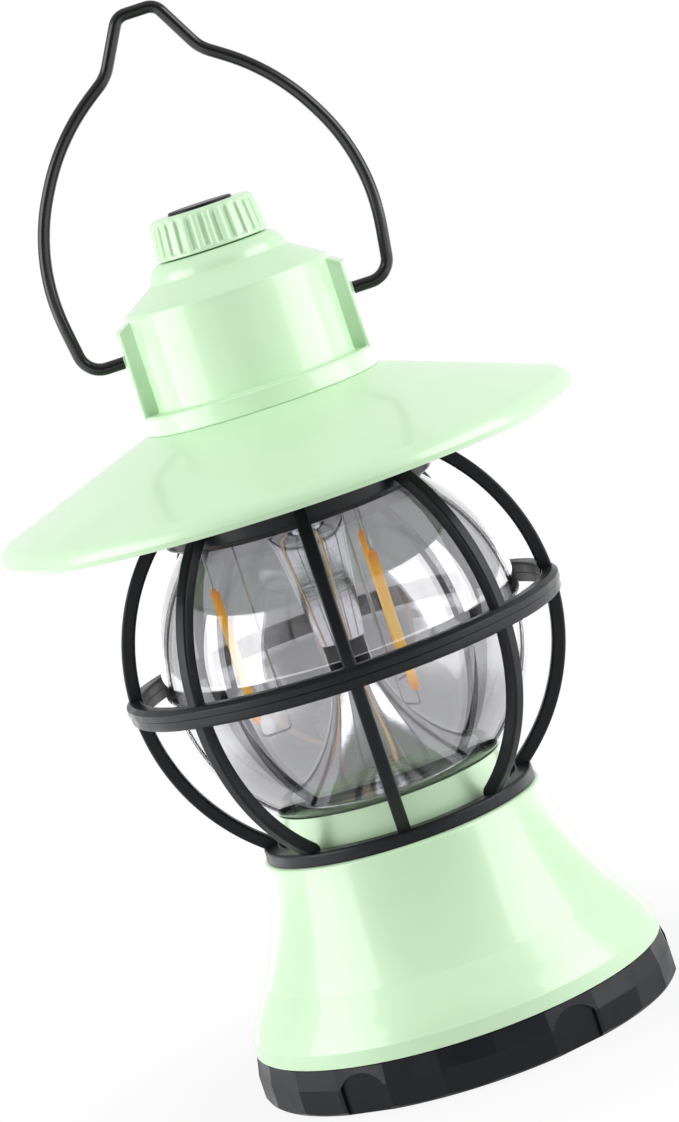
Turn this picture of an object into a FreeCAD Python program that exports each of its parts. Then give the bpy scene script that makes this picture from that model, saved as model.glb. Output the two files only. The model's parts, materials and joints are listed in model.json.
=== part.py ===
import FreeCAD, Part
import math
import os
import re
import Sketcher

# Camping lantern in the style of an oil lamp.
# +Z is up, lengths are in millimetres and angles in degrees. The origin is the centre of the foot, on the
# surface that the lantern stands on. The bail's pins lie along X, and one rib of the cage faces -Y.

DOC = FreeCAD.newDocument("CampingLantern")
SHEET = DOC.addObject("Spreadsheet::Sheet", "Sizes")

# Each group holds the driving dimensions of one area: name, value, meaning.
SIZES = {
    "Fits": [
        ("joint_gap", 0.3, "gap between pieces that move past each other"),
        ("slip", 0.1, "radial slip of a fixed piece in its seat"),
        ("running", 0.06, "radial running clearance of a pin or shaft"),
    ],
    "Foot pad": [
        ("pad_inner", 33, "inner radius"),
        ("pad_outer", 40, "outer radius"),
        ("pad_stand", 0.4, "height of the cover's rim above the table"),
    ],
    "Battery cover": [
        ("cover_reach", 1.2, "how far the facets' corners stand out from the skirt"),
        ("cover_radius", "skirt_radius + cover_reach", "radius at the corners of the facets"),
        ("cover_lean", 0.9, "how much the bevel leans in"),
        ("cover_top_radius", "cover_radius - cover_lean", "radius at the top of the bevel"),
        ("cover_band", 6.3, "height where the bevel starts"),
        ("cover_top", 10.5, "height of the rim"),
        ("cover_edge", 0.8, "chamfer round the foot"),
        ("cover_wall", 2.2, "wall thickness"),
        ("cover_floor", 2.0, "floor thickness"),
        ("cover_recess", 0.8, "depth of the recess for the pad"),
        ("cover_facets", 24, "number of facets"),
        ("cover_turn", -2.7, "turn of the thumb scoops from the X axis"),
        ("scoop_count", 6, "number of thumb scoops"),
        ("scoop_width", 10.7, "width"),
        ("scoop_top", 9.3, "height of the arch"),
        ("scoop_depth", 1.2, "depth at the middle"),
    ],
    "Bayonet": [
        ("bayonet_count", 4, "number of lugs, and of ledges"),
        ("ledge_depth", 1.5, "how far a ledge stands in from the skirt"),
        ("ledge_lift", 0.4, "height of a ledge above the skirt's edge"),
        ("ledge_height", 1.4, "thickness of a ledge, and of a lug"),
        ("ledge_half_angle", 12, "half the angle that a ledge covers"),
        ("lug_half_angle", 8, "half the angle that a lug covers"),
        ("upstand_wall", 1.6, "wall of the cover's upstand"),
        ("bayonet_gap", "1.4 * joint_gap", "gap at the faces that turn past each other"),
    ],
    "Base shell": [
        ("skirt_radius", 46.3, "radius at the skirt's top edge"),
        ("skirt_flare", 0.3, "how much wider the skirt's bottom edge is"),
        ("skirt_edge", 14.0, "height of the skirt's top edge"),
        ("knee_sweep", 37, "radius of the convex curve above the skirt"),
        ("knee_step", 3.3, "how far the curve above the skirt comes in"),
        ("knee_radius", "skirt_radius - knee_step", "radius where the straight flank starts"),
        ("knee_height", 19.6, "height where the straight flank starts"),
        ("flank_step", 3.2, "how far the straight flank comes in"),
        ("flank_radius", "knee_radius - flank_step", "radius where the straight flank ends"),
        ("flank_height", 24.6, "height where the straight flank ends"),
        ("bell_sweep", 74, "radius of the hollow curve of the bell"),
        ("shell_top_radius", 31.6, "radius of the bell's top"),
        ("shell_top", 50.7, "height of the bell's top"),
        ("shell_lip", 0.8, "rounding of the top edge"),
        ("shell_wall", 1.9, "wall thickness"),
        ("roof_thickness", 2.0, "thickness of the bell's roof"),
        ("seat_bore", 19.8, "radius of the hole in the roof"),
        ("shelf_width", 3.7, "width of the inner shelf that the tray is screwed to"),
        ("shelf_thickness", 3.0, "thickness of the shelf"),
    ],
    "Batteries": [
        ("cell_radius", 7.1, "radius of an AA cell"),
        ("cell_length", 49.2, "length of its can"),
        ("cell_rounding", 0.5, "rounding of its edges"),
        ("nub_radius", 2.7, "radius of its positive end"),
        ("nub_length", 1.3, "length of its positive end"),
        ("cell_spacing", 1.0, "gap between two cells"),
        ("cell_pitch", "2 * cell_radius + cell_spacing", "distance between the axes of two cells"),
        ("cell_lift", 0.9, "gap between the cells and the cover"),
        ("tray_wall", 1.5, "wall of the tray"),
        ("tray_plate", 2.0, "thickness of the tray's plate"),
        ("tray_slack", 0.3, "gap above the cells"),
        ("divider_wall", 0.6, "wall between two cells"),
        ("contact_thickness", 0.4, "thickness of a contact plate"),
        ("contact_width", 9.0, "width of a contact plate"),
        ("spring_length", 2.4, "rise of a pressed leaf spring"),
        ("spring_reach", 4.2, "half the span of a leaf spring"),
        ("spring_leaf", 0.3, "thickness of a leaf spring"),
        ("spring_width", 5.0, "width of a leaf spring"),
    ],
    "Screws": [
        ("screw_radius", 1.0, "radius of the shank"),
        ("screw_hole", 1.05, "radius of a screw hole"),
        ("head_radius", 1.8, "radius of the head"),
        ("head_height", 1.3, "height of the head"),
        ("slot_length", 2.2, "length of the cross recess"),
        ("slot_width", 0.5, "width of the cross recess"),
        ("slot_depth", 0.7, "depth of the cross recess"),
        ("tray_screw_inset", 1.4, "distance of a tray screw's axis from the shell's wall"),
        ("tray_screw_length", 4.5, "length of a tray screw's shank"),
        ("seat_screw_ring", 22.3, "radius of the ring of seat screws"),
        ("seat_screw_length", 5.5, "length of a seat screw's shank"),
        ("cage_screw_ring", 20.6, "radius of the ring of cage screws"),
        ("cage_screw_length", 5.0, "length of a cage screw's shank"),
        ("boss_overlap", 0.1, "how far a screw boss sinks into the neck's wall"),
        ("neck_screw_ring", "neck_radius - neck_wall - boss_radius + boss_overlap",
         "radius of the ring of neck screws"),
        ("neck_screw_length", 11.0, "length of a neck screw's shank"),
    ],
    "Globe seat": [
        ("seat_radius", 25.6, "outer radius of the upstand"),
        ("seat_top", 60.0, "height of the upstand"),
        ("seat_wall", 1.2, "wall of the upstand"),
        ("seat_spigot", 3.0, "length of the spigot through the roof"),
        ("seat_spigot_wall", 2.0, "wall of the spigot"),
        ("seat_floor", 58.8, "underside of the seat's floor"),
        ("seat_face", 61.0, "top of the seat's floor, where the reflector stands"),
        ("groove_floor", 56.6, "height of the groove that holds the globe"),
    ],
    "Globe": [
        ("globe_radius", 40.2, "outer radius of the ball"),
        ("globe_foot_length", 2.8, "length of the bottom rim"),
        ("globe_height", "groove_floor + globe_foot_length + sqrt(globe_radius ^ 2 - globe_foot ^ 2)",
         "height of its centre"),
        ("globe_wall", 2.0, "wall thickness"),
        ("globe_foot", 24.2, "outer radius of the bottom rim"),
        ("globe_crown", 26.4, "outer radius of the top rim"),
        ("globe_crown_length", 2.784, "length of the top rim"),
        ("globe_top", "globe_height + globe_crown_length + sqrt(globe_radius ^ 2 - globe_crown ^ 2)",
         "height of the top rim"),
        ("gasket_height", 0.4, "thickness of a gasket"),
    ],
    "Cage": [
        ("cage_drop", 0.5, "how far the cage's middle lies below the globe's"),
        ("cage_height", "globe_height - cage_drop", "height of the ball that the ribs follow"),
        ("globe_room", 5.1, "gap between the globe and a rib at its middle"),
        ("rib_depth", 3.0, "radial depth of a rib"),
        ("rib_outer", "globe_radius + globe_room + rib_depth", "outer radius of a rib"),
        ("rib_width", 2.9, "width of a rib"),
        ("rib_count", 8, "number of ribs"),
        ("foot_ring_outer", 30.7, "outer radius of the bottom ring"),
        ("foot_ring_inner", 27.0, "inner radius of the bottom ring"),
        ("foot_ring_height", 3.0, "height of the bottom ring"),
        ("foot_ring_rounding", 0.6, "rounding of its upper edge"),
        ("rib_sink", 0.7, "how far a rib sinks into the bottom ring"),
        ("rib_toe", 0.4, "distance of a rib's foot from the ring's inner edge"),
        ("rib_shoulder", 0.8, "how far a rib reaches into the top ring"),
        ("crown_ring_outer", 30.0, "outer radius of the top ring"),
        ("crown_ring_inner", 26.9, "inner radius of the top ring"),
        ("crown_ring_height", 5.5, "height of the top ring"),
        ("crown_ring_bottom", "crown_ring_top - crown_ring_height", "underside of the top ring"),
        ("crown_plate", 2.0, "thickness of the top ring's plate"),
        ("crown_land", 0.8, "width of the top ring's level underside"),
        ("crown_bevel", 1.2, "rise of the bevel round that underside"),
        ("crown_ring_top", "globe_top + gasket_height + crown_plate", "top of the top ring"),
        ("crown_bore", 18.0, "radius of the hole in that plate"),
        ("equator_reach", 0.9, "how far the equator ring stands out from the ribs"),
        ("equator_outer", "rib_outer + equator_reach", "outer radius of the equator ring"),
        ("equator_depth", 3.6, "radial depth of the equator ring"),
        ("equator_lower", 2.3, "height of the ring's lower half"),
        ("equator_bottom", "equator_seam - equator_lower", "underside of the equator ring"),
        ("seam_lift", 0.1, "height of the seam above the cage's middle"),
        ("equator_seam", "cage_height + seam_lift", "height where the two halves meet"),
        ("equator_upper", 2.4, "height of the ring's upper half"),
        ("equator_top", "equator_seam + equator_upper", "top of the equator ring"),
        ("equator_step", 0.3, "how far the lower half stands back"),
        ("equator_bevel", 0.9, "bevel of the upper outer edge"),
        ("equator_rounding", 0.5, "rounding of the lower outer edge"),
        ("peg_radius", 1.0, "radius of a peg under the bottom ring"),
        ("peg_length", 2.5, "length of a peg"),
        ("peg_count", 4, "number of pegs"),
        ("peg_inset", 1.5, "distance of a peg's axis from the ring's inner edge"),
    ],
    "Reflector": [
        ("trumpet_wall", 1.0, "wall of the trumpets"),
        ("trumpet_waist", 5.0, "outer radius at the waist"),
        ("upper_waist", 91.9, "lowest point of the upper trumpet"),
        ("upper_flare", 8.0, "radius of the upper flare's curve"),
        ("upper_flare_start", 8.0, "lean of the upper trumpet's wall where the curve starts"),
        ("upper_shoulder", 15.6, "radius where the upper flare is level"),
        ("upper_flange_radius", 21.8, "radius of the upper flange"),
        ("lower_waist", 85.5, "highest point of the lower trumpet"),
        ("lower_flare", 34.0, "radius of the lower flare's curve"),
        ("lower_flange_radius", 21.6, "radius of the lower flange"),
        ("lower_rim", 0.8, "height of the lower flange's edge"),
        ("sleeve_radius", 4.6, "outer radius of the dark sleeve at the waist"),
        ("sleeve_overlap", 1.5, "how far the trumpets reach over the sleeve"),
        ("tube_radius", 2.6, "outer radius of the wire tube"),
        ("tube_wall", 0.5, "wall of the wire tube"),
    ],
    "Filaments": [
        ("filament_count", 3, "number of filaments"),
        ("filament_ring", 23.1, "radius of the circle that they hang on"),
        ("filament_start", -60, "bearing of the first one, from the X axis"),
        ("filament_radius", 1.0, "radius of a filament"),
        ("filament_bottom", 79.8, "lower end of the lit length"),
        ("filament_length", 31.6, "lit length"),
        ("lead_radius", 0.3, "radius of a bare lead"),
        ("lead_ring", 16.5, "radius of the circle that the return leads hang on"),
        ("lead_bottom", 76.8, "lowest point of the hairpin"),
        ("lead_bend", 1.3, "bend radius of the hairpin"),
        ("board_radius", 23.9, "outer radius of the filament board"),
        ("board_bore", 9.0, "inner radius of the filament board"),
        ("board_thickness", 1.6, "thickness of a circuit board"),
        ("top_plate_thickness", 1.6, "thickness of the top plate"),
        ("top_plate_bore", 5.0, "radius of the hole in the top plate"),
    ],
    "Head": [
        ("hub_radius", 27.5, "outer radius of the hub's wall"),
        ("hub_inner", 24.5, "inner radius of the hub's wall"),
        ("hub_foot", 1.6, "height of the hub's wide foot"),
        ("hub_flange", 2.0, "thickness of the hub's plates"),
        ("hub_bore", 6.0, "radius of the hole in the hub's top plate"),
        ("hub_height", 20.2, "height from the cage's top to the cone's start"),
        ("shade_top", "crown_ring_top + hub_height", "height where the cone starts"),
        ("neck_flange", 3.1, "width of the neck's flange"),
        ("shade_top_radius", "neck_radius + neck_flange", "radius where the cone starts"),
        ("shade_wall", 2.3, "wall of the shade, measured upright"),
        ("shade_bore", 14.0, "radius of the hole in the shade's plate"),
        ("shade_rim_width", 2.7, "width of the rim's rounding"),
        ("shade_edge_radius", "shade_radius - shade_rim_width", "radius where the rim's rounding starts"),
        ("cone_fall", 13.0, "fall of the cone"),
        ("shade_edge_height", "shade_top - cone_fall", "height where the rim's rounding starts"),
        ("shade_radius", 65.0, "outer radius of the rim"),
        ("rim_fall", 3.3, "fall of the rim's rounding"),
        ("shade_rim_height", "shade_edge_height - rim_fall", "height of the rim's widest point"),
        ("rim_lip", 1.2, "height of the rim below its widest point"),
        ("shade_bottom", "shade_rim_height - rim_lip", "lowest edge of the rim"),
        ("shade_rounding", 4.2, "radius of the rim's rounding"),
        ("rim_tuck", 0.4, "how far the rim's lowest edge stands in"),
        ("neck_flange_height", 4.5, "height of the neck's flange"),
        ("neck_flange_top", "shade_top + neck_flange_height", "top of the neck's flange"),
        ("neck_radius", 22.8, "radius of the neck"),
        ("neck_wall", 2.0, "wall of the neck"),
        ("neck_height", 25.8, "height of the neck"),
        ("neck_top", "shade_top + neck_height", "height where the shoulder starts"),
        ("shoulder_radius", 15.75, "radius at the shoulder's top"),
        ("shoulder_height", 4.4, "height of the shoulder"),
        ("shoulder_top", "neck_top + shoulder_height", "height of the shoulder's top"),
        ("collar_radius", 14.9, "radius of the collar under the knob"),
        ("collar_band", 1.5, "height of the collar's straight band"),
        ("collar_edge", "shoulder_top + collar_band", "height where the collar narrows"),
        ("collar_top_radius", 12.4, "radius of the collar's top"),
        ("collar_height", 4.2, "height of the collar"),
        ("collar_top", "shoulder_top + collar_height", "height of the collar's top"),
        ("collar_sweep", 4.2, "radius of the collar's curve"),
        ("boss_radius", 3.0, "radius of a screw boss in the neck"),
        ("boss_height", 10.8, "height of a screw boss above the shade"),
        ("boss_top", "shade_top + boss_height", "height of a screw boss"),
        ("driver_room", 2.2, "gap between the driver board and the neck's wall"),
        ("driver_radius", "neck_radius - neck_wall - driver_room", "radius of the driver board"),
        ("ear_half_width", 6.4, "half the width of a bail lug"),
        ("ear_reach", 3.1, "how far a bail lug stands out from the neck"),
        ("ear_radius", "neck_radius + ear_reach", "outer radius of the bail lugs"),
        ("ear_fall", 1.0, "how far a lug ends below the neck's top"),
        ("ear_top", "neck_top - ear_fall", "height of a lug at the neck"),
        ("ear_bevel", 1.6, "fall of a lug's top to its outer face"),
    ],
    "Driver": [
        ("coil_radius", 3.5, "radius of the coil"),
        ("coil_height", 4.0, "height of the coil"),
        ("coil_x", -7.0, "X of the coil"),
        ("coil_y", -3.0, "Y of the coil"),
        ("capacitor_radius", 2.5, "radius of the capacitor"),
        ("capacitor_height", 6.0, "height of the capacitor"),
        ("capacitor_x", 7.0, "X of the capacitor"),
        ("capacitor_y", -4.0, "Y of the capacitor"),
        ("chip_length", 5.0, "length of the chip along X"),
        ("chip_width", 4.0, "width of the chip along Y"),
        ("chip_height", 1.5, "height of the chip"),
        ("chip_x", -2.0, "X of the chip's left side"),
        ("chip_y", 5.0, "Y of the chip's front"),
        ("post_radius", 0.5, "radius of a post that carries the dimmer"),
        ("post_spacing", 2.5, "distance between two posts"),
        ("post_y", -6.0, "Y of the posts"),
        ("insulated_radius", 0.6, "radius of an insulated wire"),
        ("supply_offset", 0.9, "distance of a supply wire from the axis"),
        ("feed_offset", 3.6, "distance of a filament wire from the axis"),
    ],
    "Dimmer": [
        ("dimmer_radius", 8.0, "radius of the dimmer's can"),
        ("dimmer_height", 7.0, "height of the can"),
        ("bushing_radius", 3.5, "radius of the threaded bushing"),
        ("bushing_length", 4.6, "length of the bushing above the can"),
        ("nut_flats", 9.0, "width of the nut across its flats"),
        ("nut_height", 1.6, "height of the nut"),
        ("shaft_radius", 3.0, "radius of the shaft"),
        ("shaft_rise", 6.4, "how far the shaft stands above the collar"),
        ("shaft_top", "collar_top + shaft_rise", "height of the shaft's end"),
        ("shaft_depth", 7.4, "how far the shaft reaches below the collar's top"),
        ("shaft_foot", "collar_top - shaft_depth", "height of the shaft's lower end"),
        ("shaft_flat", 1.5, "distance of the shaft's flat from its axis"),
        ("knob_radius", 12.4, "radius at the knob's bottom"),
        ("knob_top_radius", 11.45, "radius that the knob tapers to"),
        ("knob_rise", 9.1, "how far the knob stands above the collar"),
        ("knob_top", "collar_top + knob_rise", "height of the knob's top"),
        ("knob_rounding", 1.8, "rounding of the knob's top edge"),
        ("knob_hub", 5.2, "radius of the knob's hub"),
        ("knob_wall", 1.8, "wall of the knob"),
        ("knob_roof_depth", 3.3, "thickness of the knob's roof"),
        ("knob_roof", "knob_top - knob_roof_depth", "underside of the knob's roof"),
        ("knob_hub_depth", 6.1, "how far the knob's hub reaches down"),
        ("hub_clear", "knob_top - knob_hub_depth", "underside of the knob's hub"),
        ("flute_count", 27, "number of flutes"),
        ("flute_radius", 0.8, "radius of a flute"),
        ("flute_depth", 0.5, "depth of a flute"),
        ("flute_lift", 0.7, "height of the flutes above the collar"),
        ("flute_bottom", "collar_top + flute_lift", "lower end of the flutes"),
        ("flute_length", 7.4, "length of the flutes"),
        ("disc_radius", 7.1, "radius of the disc in the knob's top"),
        ("disc_depth", 1.2, "how deep the disc sits"),
        ("disc_proud", 0.6, "how far the disc stands up"),
        ("disc_rounding", 0.35, "rounding of the disc's edge"),
    ],
    "Bail": [
        ("wire_radius", 1.35, "radius of the bail's wire"),
        ("pin_lift", 16.7, "height of the pins above the shade's top"),
        ("bail_height", "shade_top + pin_lift", "height of the pins"),
        ("pin_depth", 1.4, "how far a pin reaches into the neck's wall"),
        ("pin_reach", "neck_radius - pin_depth", "distance of a pin's end from the axis"),
        ("bail_foot", 34.2, "X where the wire turns up"),
        ("foot_bend", 5.0, "bend radius there"),
        ("bail_width", 37.7, "X of the widest corner"),
        ("width_rise", 25.6, "rise of the widest corner above the pins"),
        ("width_height", "bail_height + width_rise", "height of that corner"),
        ("width_bend", 45.0, "bend radius there"),
        ("arch_reach", 24.0, "X of the arch's corner"),
        ("arch_rise", 49.6, "rise of the arch's corner above the pins"),
        ("arch_height", "bail_height + arch_rise", "height of that corner"),
        ("arch_bend", 48.0, "bend radius there"),
        ("hook_reach", 10.5, "X where the wire turns up to the hanging loop"),
        ("hook_rise", 58.9, "rise of the hanging loop's corner above the pins"),
        ("hook_height", "bail_height + hook_rise", "height of that corner"),
        ("hook_bend", 9.0, "bend radius there"),
        ("peak_reach", 4.2, "X of the peak's corner"),
        ("peak_rise", 70.3, "rise of the peak's wire above the pins"),
        ("peak_height", "bail_height + peak_rise", "height of the wire at the peak"),
        ("peak_bend", 3.2, "bend radius there"),
    ],
}

ALIASES = {}
row = 0
for group, entries in SIZES.items():
    row += 1
    SHEET.set(f"A{row}", group)
    for alias, size, meaning in entries:
        row += 1
        SHEET.set(f"A{row}", meaning)
        SHEET.setAlias(f"B{row}", alias)
        ALIASES[alias] = (f"B{row}", size)
for cell, size in ALIASES.values():
    SHEET.set(cell, f"={size}" if isinstance(size, str) else str(size))
DOC.recompute()

NODES = []


def bind(words):
    """Turn an expression in the sheet's plain names into one that FreeCAD can follow."""
    return re.sub(r"[a-z_]+", lambda word: "Sizes." + word[0] if word[0] in ALIASES else word[0], str(words))


def value(words):
    """The present value of such an expression."""
    return float(SHEET.evalExpression(bind(words)))


def put(target, setting, words):
    """Bind one property of an object to the sheet."""
    target.setExpression(setting, bind(words))


def keep(piece, label):
    """Name a finished sub-part."""
    piece.Label = label
    NODES.append(piece)
    return piece


# ---------------------------------------------------------------- sketches

def new_body(label):
    body = DOC.addObject("PartDesign::Body", label)
    body.AllowCompound = True
    return keep(body, label)


def origin_part(body, role):
    return next(part for part in body.Origin.OriginFeatures if part.Role == role)


def new_sketch(body, name, plane="XZ_Plane", lift=0):
    """A sketch on one of the body's own planes, moved along the plane's normal by lift."""
    sketch = body.newObject("Sketcher::SketchObject", f"{body.Label}_{name}")
    sketch.AttachmentSupport = [(origin_part(body, plane), "")]
    sketch.MapMode = "FlatFace"
    put(sketch, "AttachmentOffset.Base.z", lift)
    return sketch


def fix_length(sketch, kind, words, *geometry):
    """A dimension of a sketch, bound to the sheet."""
    index = sketch.addConstraint(Sketcher.Constraint(kind, *geometry, value(words)))
    sketch.setExpression(f"Constraints[{index}]", bind(words))


def fix_point(sketch, geometry, end, corner):
    """Hold one end of an edge at corner, whose x and y are expressions."""
    fix_length(sketch, "DistanceX", corner[0], -1, 1, geometry, end)
    fix_length(sketch, "DistanceY", corner[1], -1, 1, geometry, end)


def arc_through(start, end, radius, side):
    """The shorter arc from start to end, with its centre on the left (1) or on the right (-1) of the way."""
    chord = end - start
    middle = start + chord * 0.5
    left = FreeCAD.Vector(-chord.y, chord.x, 0).normalize()
    rise = math.sqrt(radius ** 2 - (chord.Length / 2) ** 2)
    crest = middle + left * side * (rise - radius)
    return Part.Arc(start, crest, end)


def start_end(sketch, geometry, point):
    """Which end of an edge, 1 or 2, lies at point, and which is the other."""
    near = (sketch.getPoint(geometry, 1) - point).Length < (sketch.getPoint(geometry, 2) - point).Length
    return (1, 2) if near else (2, 1)


def outline(sketch, corners):
    """A closed outline. A corner is (x, y), or (x, y, radius, side) where an arc leads to the next one."""
    points = [FreeCAD.Vector(value(corner[0]), value(corner[1]), 0) for corner in corners]
    edges = []
    for index, corner in enumerate(corners):
        start = points[index]
        end = points[(index + 1) % len(points)]
        if len(corner) == 4:
            edge = arc_through(start, end, value(corner[2]), corner[3])
        else:
            edge = Part.LineSegment(start, end)
        edges.append(sketch.addGeometry(edge))
    ends = [start_end(sketch, edge, point) for edge, point in zip(edges, points)]
    for index, corner in enumerate(corners):
        following = (index + 1) % len(corners)
        joint = (edges[index], ends[index][1], edges[following], ends[following][0])
        sketch.addConstraint(Sketcher.Constraint("Coincident", *joint))
        fix_point(sketch, edges[index], ends[index][0], corner)
        if len(corner) == 4:
            fix_length(sketch, "Radius", corner[2], edges[index])


def circle(sketch, x, y, radius):
    centre = FreeCAD.Vector(value(x), value(y), 0)
    geometry = sketch.addGeometry(Part.Circle(centre, FreeCAD.Vector(0, 0, 1), value(radius)))
    fix_point(sketch, geometry, 3, (x, y))
    fix_length(sketch, "Radius", radius, geometry)


def box_outline(sketch, low_x, low_y, high_x, high_y):
    outline(sketch, [(low_x, low_y), (high_x, low_y), (high_x, high_y), (low_x, high_y)])


def ring_of_circles(sketch, ring, radius, count, start=0):
    """Circles spaced evenly on a ring, the first one at the bearing start."""
    for index in range(int(value(count))):
        bearing = f"({start} + {index} * 360 / {count})"
        circle(sketch, f"{ring} * cos({bearing})", f"{ring} * sin({bearing})", radius)


def sector(sketch, inner, outer, half_angle):
    """A piece of a ring, centred on the X axis."""
    outline(sketch, [
        (f"{inner} * cos({half_angle})", f"-{inner} * sin({half_angle})"),
        (f"{outer} * cos({half_angle})", f"-{outer} * sin({half_angle})", outer, 1),
        (f"{outer} * cos({half_angle})", f"{outer} * sin({half_angle})"),
        (f"{inner} * cos({half_angle})", f"{inner} * sin({half_angle})", inner, -1),
    ])


def rounded_path(sketch, corners):
    """An open path of straight runs joined by tangent arcs: (x, y) at its ends, (x, y, radius) between."""
    points = [FreeCAD.Vector(value(corner[0]), value(corner[1]), 0) for corner in corners]
    ways = [(end - start).normalize() for start, end in zip(points, points[1:])]
    trims = [0.0]
    for before, after, corner in zip(ways, ways[1:], corners[1:]):
        trims.append(value(corner[2]) * math.tan(before.getAngle(after) / 2))
    trims.append(0.0)
    runs = []
    for index, way in enumerate(ways):
        start = points[index] + way * trims[index]
        end = points[index + 1] - way * trims[index + 1]
        runs.append(sketch.addGeometry(Part.LineSegment(start, end)))
    fix_point(sketch, runs[0], 1, corners[0])
    fix_point(sketch, runs[-1], 2, corners[-1])
    for index in range(1, len(points) - 1):
        start = points[index] - ways[index - 1] * trims[index]
        end = points[index] + ways[index] * trims[index]
        turn = ways[index - 1].getAngle(ways[index])
        inward = (ways[index] - ways[index - 1]).normalize()
        crest = points[index] + inward * value(corners[index][2]) * (1 / math.cos(turn / 2) - 1)
        bend = sketch.addGeometry(Part.Arc(start, crest, end))
        mark = sketch.addGeometry(Part.Point(points[index]), True)
        first, second = start_end(sketch, bend, start)
        sketch.addConstraint(Sketcher.Constraint("Tangent", runs[index - 1], 2, bend, first))
        sketch.addConstraint(Sketcher.Constraint("Tangent", bend, second, runs[index], 1))
        sketch.addConstraint(Sketcher.Constraint("PointOnObject", mark, 1, runs[index - 1]))
        sketch.addConstraint(Sketcher.Constraint("PointOnObject", mark, 1, runs[index]))
        fix_point(sketch, mark, 1, corners[index])
        fix_length(sketch, "Radius", corners[index][2], bend)


# ---------------------------------------------------------------- features

def add_feature(sketch, kind, name):
    body = sketch.getParent()
    feature = body.newObject(f"PartDesign::{kind}", f"{body.Label}_{name}")
    feature.Profile = sketch
    return feature


def turned(body, name, corners, kind="Revolution"):
    """Turn an outline in the XZ plane about Z, to add a solid or, as a Groove, to cut one away."""
    sketch = new_sketch(body, f"{name}_outline")
    outline(sketch, corners)
    feature = add_feature(sketch, kind, name)
    feature.ReferenceAxis = (sketch, ["V_Axis"])
    feature.Angle = 360
    return feature


def raised(sketch, name, height):
    """A pad that rises from the sketch along its normal."""
    feature = add_feature(sketch, "Pad", name)
    put(feature, "Length", height)
    return feature


def raised_both_ways(sketch, name, width):
    feature = raised(sketch, name, width)
    feature.SideType = "Symmetric"
    return feature


def cut_upwards(sketch, name, height):
    """A pocket that runs from the sketch along its normal."""
    feature = add_feature(sketch, "Pocket", name)
    feature.Reversed = True
    put(feature, "Length", height)
    return feature


def repeated(body, name, features, count):
    """Repeat features evenly about Z."""
    pattern = body.newObject("PartDesign::PolarPattern", f"{body.Label}_{name}")
    pattern.Originals = features
    pattern.Axis = (origin_part(body, "Z_Axis"), [""])
    pattern.Angle = 360
    put(pattern, "Occurrences", count)
    body.Tip = pattern
    return pattern


def drill(body, name, ring, radius, count, bottom, height, start=0):
    """Upright round holes on a ring."""
    sketch = new_sketch(body, f"{name}_circles", "XY_Plane", bottom)
    ring_of_circles(sketch, ring, radius, count, start)
    cut_upwards(sketch, name, height)


def ring_solid(label, outer, inner, bottom, height):
    """A plain ring made from two cylinders."""
    solids = []
    for name, radius in (("outer", outer), ("inner", inner)):
        solid = DOC.addObject("Part::Cylinder", f"{label}_{name}")
        put(solid, "Radius", radius)
        put(solid, "Height", height)
        solids.append(solid)
    ring = DOC.addObject("Part::Cut", label)
    ring.Base, ring.Tool = solids
    put(ring, "Placement.Base.z", bottom)
    return keep(ring, label)


def rod(name, radius, x, y, bottom, height):
    solid = DOC.addObject("Part::Cylinder", name)
    put(solid, "Radius", radius)
    put(solid, "Height", height)
    put(solid, "Placement.Base.x", x)
    put(solid, "Placement.Base.y", y)
    put(solid, "Placement.Base.z", bottom)
    return solid


def group(label, solids):
    """One node that holds several separate solids."""
    compound = DOC.addObject("Part::Compound", label)
    compound.Links = solids
    return keep(compound, label)


def screw(name, x, y, seat, length, way):
    """A cross-headed screw. Its head rests on seat, and its shank runs up (way 1) or down (way -1)."""
    shank = rod(f"{name}_shank", "screw_radius", x, y, seat if way > 0 else f"{seat} - {length}", length)
    head_foot = f"{seat} - head_height" if way > 0 else seat
    head = rod(f"{name}_head", "head_radius", x, y, head_foot, "head_height")
    blank = DOC.addObject("Part::Fuse", f"{name}_blank")
    blank.Base, blank.Tool = head, shank
    bars = []
    for sides in (("slot_length", "slot_width"), ("slot_width", "slot_length")):
        bar = DOC.addObject("Part::Box", f"{name}_bar")
        put(bar, "Length", sides[0])
        put(bar, "Width", sides[1])
        put(bar, "Height", "slot_depth")
        put(bar, "Placement.Base.x", f"{x} - {sides[0]} / 2")
        put(bar, "Placement.Base.y", f"{y} - {sides[1]} / 2")
        face = f"{seat} - head_height" if way > 0 else f"{seat} + head_height - slot_depth"
        put(bar, "Placement.Base.z", face)
        bars.append(bar)
    cross = DOC.addObject("Part::Fuse", f"{name}_cross")
    cross.Base, cross.Tool = bars
    finished = DOC.addObject("Part::Cut", name)
    finished.Base, finished.Tool = blank, cross
    return finished


def screw_ring(label, ring, start, seat, length, way):
    """Four screws evenly on a ring."""
    screws = []
    for index in range(4):
        bearing = f"({start} + {index} * 90)"
        x = f"{ring} * cos({bearing})"
        y = f"{ring} * sin({bearing})"
        screws.append(screw(f"{label}_{index + 1}", x, y, seat, length, way))
    group(label, screws)


# ---------------------------------------------------------------- levels that several pieces share

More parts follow.
